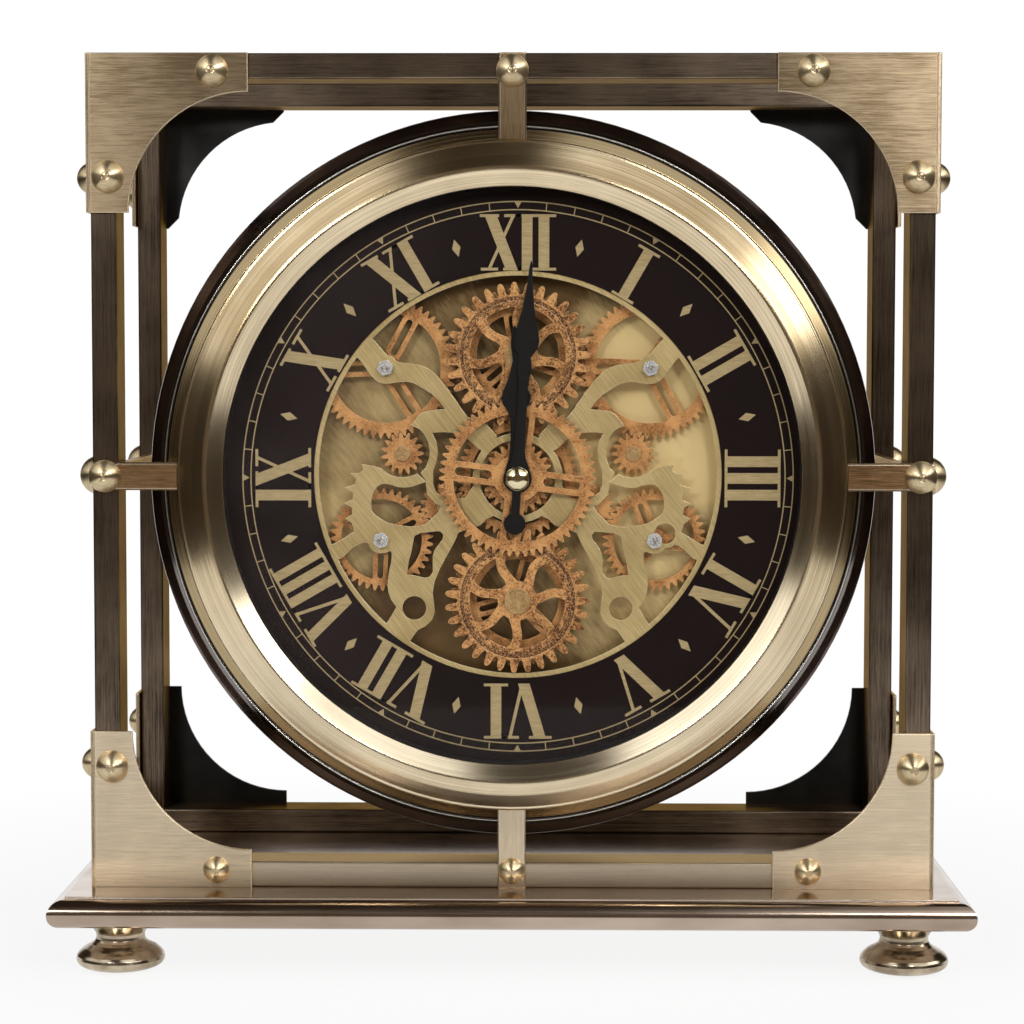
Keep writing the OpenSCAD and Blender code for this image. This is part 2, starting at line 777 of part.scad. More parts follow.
plate_shares = [[-0.737, 0.062], [-0.684, 0.047], [-0.662, 0.027], [-0.637, 0.012], [-0.607, 0.004],
  [-0.574, 0.003], [-0.537, 0.008], [-0.505, 0.02], [-0.46, -0.02], [-0.495, -0.032], [-0.537, -0.046],
  [-0.57, -0.049], [-0.603, -0.046], [-0.63, -0.036], [-0.657, -0.029], [-0.684, -0.031], [-0.706, -0.045],
  [-0.726, -0.075], [-0.736, -0.114], [-0.736, -0.154], [-0.726, -0.179], [-0.697, -0.202], [-0.657, -0.226],
  [-0.617, -0.236], [-0.577, -0.242], [-0.537, -0.246], [-0.497, -0.242], [-0.46, -0.232], [-0.437, -0.209],
  [-0.403, -0.176], [-0.38, -0.14], [-0.323, -0.108], [-0.262, -0.1], [-0.214, -0.025], [-0.134, -0.139],
  [-0.067, -0.18], [-0.125, -0.192], [-0.159, -0.209], [-0.187, -0.24], [-0.254, -0.259], [-0.297, -0.276],
  [-0.317, -0.322], [-0.35, -0.382], [-0.39, -0.456], [-0.417, -0.522], [-0.427, -0.582], [-0.42, -0.635],
  [-0.417, -0.676], [-0.43, -0.715], [-0.464, -0.749], [-0.503, -0.769], [-0.527, -0.802], [-0.6, -0.92],
  [-0.72, -0.82], [-0.647, -0.715], [-0.61, -0.652], [-0.623, -0.635], [-0.637, -0.615], [-0.65, -0.582],
  [-0.655, -0.549], [-0.653, -0.509], [-0.647, -0.469], [-0.637, -0.429], [-0.633, -0.382], [-0.64, -0.369],
  [-0.67, -0.379], [-0.697, -0.372], [-0.72, -0.356], [-0.743, -0.332], [-0.77, -0.326], [-0.803, -0.336],
  [-0.837, -0.359], [-0.88, -0.402], [-1, -0.46], [-1.02, -0.37], [-0.916, -0.329], [-0.823, -0.272],
  [-0.835, -0.23], [-0.87, -0.205], [-0.832, -0.185], [-0.835, -0.15], [-0.872, -0.128], [-0.83, -0.11],
  [-0.828, -0.075], [-0.868, -0.05], [-0.82, -0.035], [-0.81, -0.005], [-0.84, 0.022], [-0.795, 0.024],
  [-0.775, 0.04], [-0.785, 0.068]];
bell_shares = [[-0.52, -0.293], [-0.484, -0.276], [-0.443, -0.274], [-0.41, -0.269], [-0.387, -0.27],
  [-0.374, -0.286], [-0.377, -0.309], [-0.397, -0.336], [-0.417, -0.362], [-0.427, -0.396], [-0.427, -0.442],
  [-0.427, -0.476], [-0.443, -0.499], [-0.467, -0.505], [-0.49, -0.499], [-0.523, -0.492], [-0.557, -0.49],
  [-0.553, -0.456], [-0.547, -0.415], [-0.537, -0.382], [-0.529, -0.342]];
ring_in_share = 0.191;
ring_out_share = 0.226;
low_hole_share = 0.06;
side_hole_share = 0.053;

module share_shape(shares, left, t) {
  linear_extrude(t)
    polygon([for (p = shares) [(left ? 1 : -1)*p[0]*window_r, p[1]*window_r]]);
}

module skeleton_half(left) {
  s = left ? 1 : -1;
  difference() {
    union() {
      share_shape(arm_shares, left, skel_t);
      share_shape(plate_shares, left, skel_t);
      translate([pos_lower(left)[0], pos_lower(left)[1], 0])
        cylinder(r = 5.2*gear_mod, h = skel_t, $fn = fine_fn);
      translate([pos_upper(left)[0], pos_upper(left)[1], 0])
        cylinder(r = 5*gear_mod, h = skel_t, $fn = fine_fn);
      if (!left)
        translate([0.741*window_r, -0.279*window_r, 0])
          cylinder(r = side_hole_share*window_r + 1.6*mm, h = skel_t, $fn = fine_fn);
    }
    translate([0, 0, -over])
      share_shape(bell_shares, left, skel_t + 2*over);
    translate([-s*0.52*window_r, -0.657*window_r, -over])
      cylinder(r = low_hole_share*window_r, h = skel_t + 2*over, $fn = fine_fn);
    if (!left)
      translate([0.741*window_r, -0.279*window_r, -over])
        cylinder(r = side_hole_share*window_r, h = skel_t + 2*over, $fn = fine_fn);
  }
}

module skeleton_plate() {
  color(brass) {
    difference() {
      union() {
        on_dial(skel_back)
          difference() {
            cylinder(r = dial_r, h = skel_t, $fn = round_fn);
            translate([0, 0, -over])
              cylinder(r = window_r, h = skel_t + 2*over, $fn = round_fn);
          }
        on_move(skel_back)
          intersection() {
            union() {
              skeleton_half(true);
              skeleton_half(false);
              cylinder(r = ring_out_share*window_r, h = skel_t, $fn = round_fn);
            }
            translate([0, move_drop, -over])
              cylinder(r = window_r + over, h = skel_t + 2*over, $fn = round_fn);
          }
      }
      on_move(skel_back + over)
        cylinder(r = ring_in_share*window_r, h = skel_t + 2*over, $fn = round_fn);
      for (left = [true, false]) {
        on_move(skel_back + over, pos_upper(left))
          cylinder(r = pin_r, h = skel_t + 2*over, $fn = fine_fn);
        on_move(skel_back + over, pos_lower(left))
          cylinder(r = pin_r, h = skel_t + 2*over, $fn = fine_fn);
      }
    }
  }
}

post_r = 2.5*mm;
post_at = (window_r + ledge_r)/2;
back_r = post_at + 8*mm;
back_t = 1.2*mm;

module back_plate() {
  color(brass)
    on_move(plate_y + back_t)
      difference() {
        cylinder(r = back_r, h = back_t, $fn = round_fn);
        translate([0, 0, -over])
          cylinder(r = tube_r, h = back_t + 2*over, $fn = fine_fn);
      }
}

// directions of the posts, clear of the tips of the side gears
post_turns = [5, 90, 175, 225, 270, 315];

module plate_posts() {
  color(brass)
    for (a = post_turns)
      on_move(plate_y, toward(post_at, a))
        cylinder(r = post_r, h = plate_gap, $fn = fine_fn);
}

nut_t = 2.2*mm;
nut_flats = 5.5*mm;
nut_r = nut_flats/sqrt(3);
screw_up = 0.7*mm;

module plate_nuts() {
  color([0.8, 0.8, 0.82])
    for (left = [true, false])
      for (p = [pos_upper(left), pos_lower(left)]) {
        on_move(dial_y, p)
          difference() {
            rotate([0, 0, 15])
              cylinder(r = nut_r, h = nut_t, $fn = 6);
            translate([0, 0, -over])
              cylinder(r = pin_r, h = nut_t + 2*over, $fn = fine_fn);
          }
      }
}

head_t = 0.7*mm;
module pin(p, r, y0, y1) {
  on_move(y1, p)
    cylinder(r = r, h = y1 - y0, $fn = fine_fn);
}

module headed_pin(p, r, head, y0) {
  pin(p, r, y0, plate_y);
  pin(p, head, y0 - head_t, y0);
}

module arbors() {
  color(brass) {
    for (left = [true, false]) {
      pin(pos_upper(left), pin_r, dial_y - nut_t - screw_up, plate_y);
      pin(pos_lower(left), pin_r, dial_y - nut_t - screw_up, plate_y);
      headed_pin(pos_pinion(left), pin_r, 3*gear_mod, mesh_y - gap);
      headed_pin(pos_idler(left), pin_r, 2.6*gear_mod, mesh_y - gap);
    }
    headed_pin(pos_up, pin_r, 5.1*gear_mod, wheel_y - gap);
    headed_pin(pos_low, pin_r, 5.1*gear_mod, wheel_y - gap);
    on_move(plate_y + back_t)
      difference() {
        cylinder(r = tube_r, h = plate_y + back_t - front_gear_y, $fn = fine_fn);
        translate([0, 0, -over])
          cylinder(r = pipe_r + run_play, h = plate_y + back_t - front_gear_y + 2*over, $fn = fine_fn);
      }
  }
}

// centre gears share one sleeve on the arbor tube
sleeve_r = tube_r + 1.6*gear_mod;

module center_gear() {
  color(copper)
    on_move(front_back)
      spoked_gear(teeth_front, front_t, 90, 3.4*gear_mod, 9.3*gear_mod, 8*gear_mod, 3.4*gear_mod, 4, -7,
        tube_r + run_play);
}

module center_small_gear() {
  color(copper) {
    on_move(skel_back - 0.1*mm)
      difference() {
        gear_disc(teeth_small, 1*mm, 90);
        translate([0, 0, -over])
          cylinder(r = sleeve_r, h = 3*over + 1*mm, $fn = fine_fn);
      }
  }
}

module center_rear_gear() {
  color(copper) {
    on_move(mesh_back)
      spoked_gear(teeth_center, mesh_t, turn_center, 3*gear_mod, 9*gear_mod, 7*gear_mod, 3*gear_mod, 4, 38,
        tube_r + run_play);
    on_move(mesh_y)
      difference() {
        cylinder(r = sleeve_r, h = mesh_y - front_back, $fn = fine_fn);
        translate([0, 0, -over])
          cylinder(r = tube_r + run_play, h = mesh_y - front_back + 2*over, $fn = fine_fn);
      }
    on_move(plate_y - gap)
      difference() {
        cylinder(r = sleeve_r, h = plate_y - gap - mesh_back, $fn = fine_fn);
        translate([0, 0, -over])
          cylinder(r = tube_r + run_play, h = plate_y + 2*over, $fn = fine_fn);
      }
  }
}

// coarse wheel with curved arms and a turned groove ring, as shares of the module
groove_share = 21.2;
groove_w_share = 1.8;
boss_share = 7.8;
arm_w_share = 3.6;
arm_out_share = 18.9;
tooth_h_share = 5;
arm_n = 7;
arm_steps = 8;
arm_sweep = 3;
arm_bow = 7;
arm_flare = 0.3;
groove_r = groove_share*gear_mod;
groove_w = groove_w_share*gear_mod;
boss_r = boss_share*gear_mod;
arm_w = arm_w_share*gear_mod;
arm_out = arm_out_share*gear_mod;

// an arm leans and bows a little, and widens towards both of its ends
function arm_reach(k) = boss_r + (arm_out - boss_r)*k/arm_steps;
function arm_half(k) = arm_w/2*(1 + arm_flare*pow(2*k/arm_steps - 1, 4));
function arm_side(k, side) = arm_sweep*k/arm_steps + arm_bow*sin(180*k/arm_steps)
  + side*arm_half(k)/arm_reach(k)*180/PI;
function arm_window(turn) =
  let (next = turn + 360/arm_n)
  let (a0 = turn + arm_side(0, 1))
  let (b0 = next + arm_side(0, -1))
  let (a1 = turn + arm_side(arm_steps, 1))
  let (b1 = next + arm_side(arm_steps, -1))
  concat([for (k = [0:arm_steps]) toward(arm_reach(k), turn + arm_side(k, 1))],
    [for (k = [1:arm_steps - 1]) toward(arm_out, a1 + (b1 - a1)*k/arm_steps)],
    [for (k = [arm_steps:-1:0]) toward(arm_reach(k), next + arm_side(k, -1))],
    [for (k = [1:3]) toward(boss_r, b0 + (a0 - b0)*k/4)]);

// finger teeth with rounded tips, as half widths in pitches and heights in tooth heights
finger_shares = [[0, 0.41], [0.12, 0.32], [0.45, 0.275], [0.72, 0.225], [0.88, 0.16], [0.97, 0.085], [1, 0]];
function coarse_points(z, rt) = [for (i = [0:z - 1])
  let (a = i*360/z)
  let (p = 360/z)
  let (h = tooth_h_share*gear_mod)
  let (last = len(finger_shares) - 1)
  each concat([for (k = [0:last]) toward(rt - h + h*finger_shares[k][0], a - p*finger_shares[k][1])],
    [for (k = [last - 1:-1:0]) toward(rt - h + h*finger_shares[k][0], a + p*finger_shares[k][1])])];

module coarse_wheel(turn) {
  difference() {
    outline(concat([coarse_points(teeth_coarse, coarse_r)],
      [for (i = [0:arm_n - 1]) arm_window(turn + i*360/arm_n)]), wheel_t);
    translate([0, 0, wheel_t - 0.5*mm])
      difference() {
        cylinder(r = groove_r + groove_w, h = wheel_t, $fn = round_fn);
        translate([0, 0, -over])
          cylinder(r = groove_r, h = wheel_t + 2*over, $fn = round_fn);
      }
    translate([0, 0, -over])
      cylinder(r = pin_r + run_play, h = wheel_t + 2*over, $fn = fine_fn);
  }
}

module upper_wheel() {
  color(copper)
    on_move(wheel_back, pos_up)
      coarse_wheel(31.5);
}

module lower_wheel() {
  color(copper)
    on_move(wheel_back, pos_low)
      coarse_wheel(4.3);
}

module fine_gear(p, turn, spoke_turn) {
  on_move(mesh_back, p)
    spoked_gear(teeth_fine, mesh_t, turn, 8*gear_mod, 4.4*gear_mod, 6*gear_mod, 2.4*gear_mod, 3, spoke_turn,
      pin_r + run_play);
  on_move(mesh_y, p)
    difference() {
      cylinder(r = hub_r, h = mesh_y - wheel_back, $fn = fine_fn);
      translate([0, 0, -over])
        cylinder(r = pin_r + run_play, h = mesh_y - wheel_back + 2*over, $fn = fine_fn);
    }
  rear_hub(p);
}

module rear_hub(p) {
  on_move(plate_y - gap, p)
    difference() {
      cylinder(r = 2.8*mm, h = plate_y - gap - mesh_back, $fn = fine_fn);
      translate([0, 0, -over])
        cylinder(r = pin_r + run_play, h = plate_y + 2*over, $fn = fine_fn);
    }
}

module front_hub(p) {
  on_move(mesh_y, p)
    difference() {
      cylinder(r = 3*mm, h = mesh_y - skel_back - gap, $fn = fine_fn);
      translate([0, 0, -over])
        cylinder(r = pin_r + run_play, h = mesh_y + 2*over, $fn = fine_fn);
    }
}

module upper_gear() {
  color(copper) fine_gear(pos_up, turn_up, 100);
}

module lower_gear() {
  color(copper) fine_gear(pos_low, turn_low, 75);
}

module side_gear(p, z, turn, rim, bar_w, slot_w, spoke_turn) {
  on_move(mesh_back, p)
    spoked_gear(z, mesh_t, turn, rim, 4.6*gear_mod, bar_w, slot_w, 3, spoke_turn, pin_r + run_play);
  front_hub(p);
  rear_hub(p);
}

module upper_side_gear(left, spoke_turn) {
  side_gear(pos_upper(left), teeth_upper, turn_upper(left), 3.9*gear_mod, 6.4*gear_mod, 2.6*gear_mod, spoke_turn);
}

module lower_side_gear(left, spoke_turn) {
  side_gear(pos_lower(left), teeth_lower, turn_lower(left), 2.2*gear_mod, 5.8*gear_mod, 2.4*gear_mod, spoke_turn);
}

module gear_upper_left() {
  color(copper) upper_side_gear(true, 62);
}

module gear_upper_right() {
  color(copper) upper_side_gear(false, 58);
}

module gear_lower_left() {
  color(copper) lower_side_gear(true, 28);
}

module gear_lower_right() {
  color(copper) lower_side_gear(false, -8);
}

module solid_gear(p, z, turn) {
  on_move(mesh_back, p)
    difference() {
      gear_disc(z, mesh_t, turn);
      translate([0, 0, -over])
        cylinder(r = pin_r + run_play, h = mesh_t + 2*over, $fn = fine_fn);
    }
  rear_hub(p);
}

module pinion_left() {
  color(copper) solid_gear(pos_pinion(true), teeth_pinion, turn_pinion(true));
}

module pinion_right() {
  color(copper) solid_gear(pos_pinion(false), teeth_pinion, turn_pinion(false));
}

module idler_left() {
  color(copper) solid_gear(pos_idler(true), teeth_idler, turn_idler(true));
}

module idler_right() {
  color(copper) solid_gear(pos_idler(false), teeth_idler, turn_idler(false));
}

// hands, half widths and stations as shares of the hand length
minute_shares = [[0, 0.05], [0.045, 0.045], [0.09, 0.033], [0.13, 0.026], [0.2, 0.024], [0.41, 0.021],
  [0.475, 0.027], [0.512, 0.034], [0.54, 0.03], [0.558, 0.025], [0.575, 0.036], [0.604, 0.056],
  [0.637, 0.06], [0.67, 0.054], [0.706, 0.045], [0.776, 0.029], [0.895, 0.012], [0.97, 0.008], [1, 0.003]];
hour_shares = [[0, 0.085], [0.065, 0.078], [0.13, 0.056], [0.256, 0.041], [0.4, 0.04], [0.447, 0.06],
  [0.49, 0.088], [0.532, 0.096], [0.578, 0.082], [0.63, 0.059], [0.704, 0.034], [0.77, 0.018],
  [0.82, 0.022], [0.868, 0.028], [0.915, 0.026], [0.96, 0.018], [1, 0.004]];
hand_hub = 5.6*mm;
tail_l = 17.8*mm;
tail_r = 4.3*mm;
tail_w = 3.4*mm;

module hand_blade(shares, l) {
  linear_extrude(hand_t)
    polygon(concat([for (p = shares) [p[1]*l, p[0]*l]],
      [for (k = [len(shares) - 1:-1:0]) [-shares[k][1]*l, shares[k][0]*l]]));
}

module hour_hand() {
  color(dark) {
    on_move(hour_back)
      rotate([0, 0, -hour_rest])
        difference() {
          union() {
            hand_blade(hour_shares, hour_l);
            cylinder(r = hand_hub, h = hand_t, $fn = fine_fn);
          }
          translate([0, 0, -over])
            cylinder(r = shaft_r + run_play, h = hand_t + 2*over, $fn = fine_fn);
        }
    on_move(plate_y)
      difference() {
        cylinder(r = pipe_r, h = plate_y - hour_back + hand_t, $fn = fine_fn);
        translate([0, 0, -over])
          cylinder(r = shaft_r + run_play, h = plate_y - hour_back + hand_t + 2*over, $fn = fine_fn);
      }
  }
}

cap_r = 4.5*mm;
cap_h = 2.4*mm;

module minute_hand() {
  color(dark) {
    on_move(minute_back)
      rotate([0, 0, -minute_rest]) {
        hand_blade(minute_shares, minute_l);
        cylinder(r = hand_hub, h = hand_t, $fn = fine_fn);
        translate([0, -tail_l, 0])
          cylinder(r = tail_r, h = hand_t, $fn = fine_fn);
        translate([-tail_w/2, -tail_l, 0])
          cube([tail_w, tail_l, hand_t]);
      }
    on_move(plate_y + back_t)
      cylinder(r = shaft_r, h = plate_y + back_t - cap_back + 0.5*cap_h, $fn = fine_fn);
    on_move(cap_back)
      rotate_extrude($fn = round_fn)
        polygon([[0, 0], [cap_r, 0], [cap_r, 0.2*cap_h], [0.94*cap_r, 0.42*cap_h], [0.8*cap_r, 0.64*cap_h],
          [0.6*cap_r, 0.83*cap_h], [0.35*cap_r, 0.95*cap_h], [0, cap_h]]);
  }
}

// movement box behind the back plate, its rear face stands in the opening of the rear cover
box_y = plate_y + back_t;
bay_w = 16*mm;
bay_h = 52*mm;
bay_x = 14*mm;
door_t = 1.2*mm;
door_lap = 1.5*mm;
bay_d = 15.5*mm;
knob_r = 8*mm;
knob_h = 5*mm;

module movement_box() {
  color(dark) {
    on_move(box_back)
      difference() {
        translate([-box_s/2, -box_s/2, 0])
          cube([box_s, box_s, box_back - box_y]);
        translate([bay_x - bay_w/2, -bay_h/2, -over])
          cube([bay_w, bay_h, bay_d + over]);
        translate([0, 0, box_back - box_y - 3*mm])
          cylinder(r = shaft_r + 1*mm, h = 4*mm, $fn = fine_fn);
        translate([-bay_x + 2*mm, 0, -over])
          cylinder(r = shaft_r + run_play, h = 6*mm + over, $fn = fine_fn);
      }
    on_move(box_y + 14*mm)
      translate([-motor_w/2, -box_s/2 - motor_h, 0])
        cube([motor_w, motor_h, 14*mm]);
  }
}

module set_knob() {
  color([0.2, 0.2, 0.2])
    translate([dial_dx - bay_x + 2*mm, front_y + box_back + gap, move_z])
      rotate([-90, 0, 0]) {
        cylinder(r = knob_r, h = knob_h, $fn = fine_fn);
        translate([0, 0, -5*mm])
          cylinder(r = shaft_r, h = 5*mm, $fn = fine_fn);
      }
}

module battery_door() {
  color([0.15, 0.15, 0.15])
    on_move(box_back + gap + door_t)
      translate([bay_x - bay_w/2 - door_lap, -bay_h/2 - door_lap, 0])
        cube([bay_w + 2*door_lap, bay_h + 2*door_lap, door_t]);
}

base();
foot_front_left();
foot_front_right();
foot_rear_left();
foot_rear_right();
foot_pads();
tube_front_left();
tube_front_right();
tube_front_top();
tube_front_bottom();
tube_rear_left();
tube_rear_right();
tube_rear_top();
tube_rear_bottom();
depth_rails();
gussets_front();
gussets_rear();
gussets_left();
gussets_right();
balls_front();
balls_small();
balls_left();
balls_right();
balls_rear();
strap_top();
strap_bottom();
strap_left();
strap_right();
tie_bars();
drum_shell();
rear_cover();
bezel();
glass();
inner_ring();
chapter_ring();
skeleton_plate();
back_plate();
plate_posts();
plate_nuts();
arbors();
center_gear();
center_rear_gear();
center_small_gear();
upper_wheel();
upper_gear();
lower_wheel();
lower_gear();
gear_upper_left();
gear_upper_right();
pinion_left();
pinion_right();
idler_left();
idler_right();
gear_lower_left();
gear_lower_right();
hour_hand();
minute_hand();
movement_box();
set_knob();
battery_door();
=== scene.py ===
# %% [markdown]
# # A gear desk clock
# The clock is a round drum with a wide turned brass bezel, held by four straps in a square
# frame of antique brass tube. Behind the glass a brown hour ring surrounds an open window
# with a cut brass plate and a train of copper gears.
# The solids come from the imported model. This script gives them their finishes, prints the
# dial, and sets the studio and the camera.

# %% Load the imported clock
import math

import bmesh
import bpy
from mathutils import Matrix, Vector


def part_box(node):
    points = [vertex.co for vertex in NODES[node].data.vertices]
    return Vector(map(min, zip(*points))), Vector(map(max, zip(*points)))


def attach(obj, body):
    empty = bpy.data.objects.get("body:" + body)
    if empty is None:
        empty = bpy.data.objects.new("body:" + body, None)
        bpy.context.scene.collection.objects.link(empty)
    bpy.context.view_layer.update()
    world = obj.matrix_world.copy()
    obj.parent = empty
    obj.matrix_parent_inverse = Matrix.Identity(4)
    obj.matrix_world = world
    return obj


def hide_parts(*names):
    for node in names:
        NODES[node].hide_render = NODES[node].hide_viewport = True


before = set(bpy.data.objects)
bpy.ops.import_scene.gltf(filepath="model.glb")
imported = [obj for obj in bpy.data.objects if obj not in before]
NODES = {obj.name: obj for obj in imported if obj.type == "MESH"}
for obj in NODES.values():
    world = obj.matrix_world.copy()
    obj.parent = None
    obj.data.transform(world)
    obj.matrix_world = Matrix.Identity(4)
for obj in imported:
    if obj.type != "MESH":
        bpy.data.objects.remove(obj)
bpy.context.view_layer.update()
MM = 0.001
CLOCK = "clock"
print("nodes loaded:", len(NODES))

# %% [markdown]
# ## Reference places
# The dial has one centre, and every ring, print and brushing turns about it. Reading it from
# the loaded solids keeps the new pieces on the real parts, whatever size the clock is made.

# %% Read the dial centre and the faces that carry new pieces
DIAL_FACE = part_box("chapter_ring")[0].y
dial_low, dial_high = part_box("back_plate")
DIAL_X = (dial_low.x + dial_high.x) / 2
DIAL_Z = (dial_low.z + dial_high.z) / 2
DIAL_CENTRE = Vector((DIAL_X, DIAL_FACE, DIAL_Z))
drum_low, drum_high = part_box("drum_shell")
DRUM_CENTRE = (drum_low + drum_high) / 2
print("dial centre in mm:", [round(value / MM, 2) for value in DIAL_CENTRE])

# %% [markdown]
# ## Camera
# A product photograph of a clock is taken from a little over a metre, nearly level with the
# dial. The long lens keeps the square frame nearly square.

# %% Place the camera
CAMERA_AT = (0.014151, -1.116624, 0.245831)
CAMERA_TURN = (1.509512, -0.001071, 0.013618)
CAMERA_LENS = 93.839
camera_data = bpy.data.cameras.new("camera")
camera_data.lens = CAMERA_LENS
camera_data.sensor_width = 36.0
camera_data.clip_start = 0.01
camera = bpy.data.objects.new("camera", camera_data)
camera.location = CAMERA_AT
camera.rotation_euler = CAMERA_TURN
bpy.context.scene.collection.objects.link(camera)
bpy.context.scene.camera = camera
bpy.context.scene.view_settings.view_transform = "Standard"

# %% [markdown]
# ## Node helpers
# Every finish below is a small tree of shader nodes. A few helpers keep the trees short: they
# add a node and fill its sockets, do a sum, spread a value over a new range or blend colours.

# %% Helpers that add nodes to a tree
def fill(tree, node, key, value):
    """Links a socket into an input, or sets the input to a plain value."""
    if isinstance(value, bpy.types.NodeSocket):
        tree.links.new(value, node.inputs[key])
    else:
        node.inputs[key].default_value = value


def add(tree, kind, **sockets):
    """Adds a node and fills its inputs, which are named, or numbered as i0, i1 and so on."""
    node = tree.nodes.new(kind)
    for name, value in sockets.items():
        fill(tree, node, int(name[1:]) if name[1:].isdigit() else name, value)
    return node


def calc(tree, operation, first, second=0.0):
    node = add(tree, "ShaderNodeMath", i0=first, i1=second)
    node.operation = operation
    return node.outputs[0]


def multiply(tree, first, second):
    return calc(tree, "MULTIPLY", first, second)


def plus(tree, first, second):
    return calc(tree, "ADD", first, second)


def vector_calc(tree, operation, *vectors):
    node = tree.nodes.new("ShaderNodeVectorMath")
    node.operation = operation
    for index, value in enumerate(vectors):
        fill(tree, node, index, value)
    return node.outputs["Value" if operation in ("LENGTH", "DOT_PRODUCT") else "Vector"]


def split(tree, vector):
    """The X, Y and Z of a vector, each by its name."""
    return add(tree, "ShaderNodeSeparateXYZ", Vector=vector).outputs


def remap(tree, value, low, high, to_low=0.0, to_high=1.0):
    node = add(tree, "ShaderNodeMapRange", i0=value, i1=low, i2=high, i3=to_low, i4=to_high)
    return node.outputs[0]


def blend_colours(tree, share, first, second):
    node = tree.nodes.new("ShaderNodeMix")
    node.data_type = "RGBA"
    for index, value in ((0, share), (6, first), (7, second)):
        fill(tree, node, index, value)
    return node.outputs[2]


def rgb(red, green, blue):
    return (red, green, blue, 1.0)

# %% [markdown]
# ## Studio
# Polished brass shows the room more than its own colour. This room is dark, with a white wall
# behind the clock and two broad pale panels high on the left and right. At the edge of the
# right panel hangs a narrow bright strip. Each of them draws its own streak on the bezel, and
# the dark gaps between them give the brass its depth. The way into the room has a Y of -1 on
# the viewer's side and 1 behind the clock, and the room's forms are placed by it.

# %% Light the room
ROOM_DARK = 0.035
ROOM_WARM = rgb(1.0, 0.74, 0.5)
ROOM_FRONT = 0.1
FRONT_FROM, FRONT_FULL = -0.7, -0.9
PANELS = [(-72, -23, 0.8), (8, 50, 0.7), (50, 66, 3.0)]
PANEL_BLUR = math.radians(2.5)
PANEL_NEAR, PANEL_NEAR_FULL = -0.85, -0.7
PANEL_FAR, PANEL_FAR_FULL = 0.3, 0.1
PANEL_GAIN = 1.6
GAIN_FROM, GAIN_FULL = -0.25, -0.5
WALL_FROM, WALL_FULL = 0.78, 0.92
WARM_BELOW, WHITE_ABOVE = 0.06, 0.5
world = bpy.data.worlds.new("room")
bpy.context.scene.world = world
world.use_nodes = True
tree = world.node_tree
tree.nodes.clear()
way = split(tree, add(tree, "ShaderNodeTexCoord").outputs["Generated"])
turn = calc(tree, "ARCTAN2", way["X"], way["Z"])
near = remap(tree, way["Y"], PANEL_NEAR, PANEL_NEAR_FULL)
beside = multiply(tree, remap(tree, way["Y"], PANEL_FAR, PANEL_FAR_FULL), near)
room = remap(tree, way["Y"], FRONT_FROM, FRONT_FULL, ROOM_DARK, ROOM_FRONT)
for low, high, level in PANELS:
    enter = remap(tree, turn, math.radians(low) - PANEL_BLUR, math.radians(low) + PANEL_BLUR)
    leave = remap(tree, turn, math.radians(high) + PANEL_BLUR, math.radians(high) - PANEL_BLUR)
    panel = multiply(tree, multiply(tree, enter, leave), beside)
    panel = multiply(tree, panel, remap(tree, way["Y"], GAIN_FROM, GAIN_FULL, 1.0, PANEL_GAIN))
    room = plus(tree, room, multiply(tree, panel, level))
room = plus(tree, room, remap(tree, way["Y"], WALL_FROM, WALL_FULL))
seen = add(tree, "ShaderNodeLightPath").outputs["Is Camera Ray"]
strength = calc(tree, "MAXIMUM", room, seen)
tint = blend_colours(tree, remap(tree, strength, WARM_BELOW, WHITE_ABOVE), ROOM_WARM, rgb(1, 1, 1))
background = add(tree, "ShaderNodeBackground", Color=tint, Strength=strength)
add(tree, "ShaderNodeOutputWorld", Surface=background.outputs[0])

# %% Hang the two soft lamps
LAMP_SIZE = (0.4, 0.3)
LAMP_POWER = 6.0
LAMP_REACH = 1.6
LAMP_OPEN = math.radians(33)
LAMP_TURNS = {"lamp_left": math.radians(-48), "lamp_right": math.radians(38)}


def soft_lamp(name, turn, open_angle):
    """Hangs a lamp at a clock angle, opened from the camera axis, with its sides along the radius."""
    outward = Vector((math.sin(turn), 0, math.cos(turn)))
    way = outward * math.sin(open_angle) + Vector((0, -1, 0)) * math.cos(open_angle)
    upright = outward * math.cos(open_angle) + Vector((0, 1, 0)) * math.sin(open_angle)
    data = bpy.data.lights.new(name, "AREA")
    data.shape = "RECTANGLE"
    data.size, data.size_y = LAMP_SIZE
    data.energy = LAMP_POWER
    lamp = bpy.data.objects.new(name, data)
    axes = Matrix((upright.cross(way), upright, way)).transposed()
    lamp.matrix_world = Matrix.Translation(DRUM_CENTRE + way * LAMP_REACH) @ axes.to_4x4()
    bpy.context.scene.collection.objects.link(lamp)


for name, turn in LAMP_TURNS.items():
    soft_lamp(name, turn, LAMP_OPEN)

# %% [markdown]
# ## Floor
# The clock stands on a plain white table. For the camera it is lifted towards white, a
# little near the clock, where it still takes the shadow, and fully far away, so that no
# horizon shows. The table ends about 60 cm to each side, so the brass mirrors the dark room
# beyond it.

# %% Lay the floor
FLOOR_SIDE = 0.62
FLOOR_FRONT = -0.85
FLOOR_BACK = 0.9
TABLE_WHITE = 0.86
TABLE_GLOW = 0.6
LIFT_NEAR, LIFT_FAR = 0.2, 0.45
LIFT_LOW = 0.88
floor_mesh = bpy.data.meshes.new("floor")
shape = bmesh.new()
size = Matrix.Diagonal((FLOOR_SIDE, (FLOOR_BACK - FLOOR_FRONT) / 2, 1, 1))
middle = Matrix.Translation((0, (FLOOR_BACK + FLOOR_FRONT) / 2, 0))
bmesh.ops.create_grid(shape, x_segments=1, y_segments=1, size=1.0, matrix=middle @ size)
shape.to_mesh(floor_mesh)
shape.free()
floor = bpy.data.objects.new("floor", floor_mesh)
bpy.context.scene.collection.objects.link(floor)
paper = bpy.data.materials.new("white_sheet")
paper.use_nodes = True
tree = paper.node_tree
tree.nodes.clear()
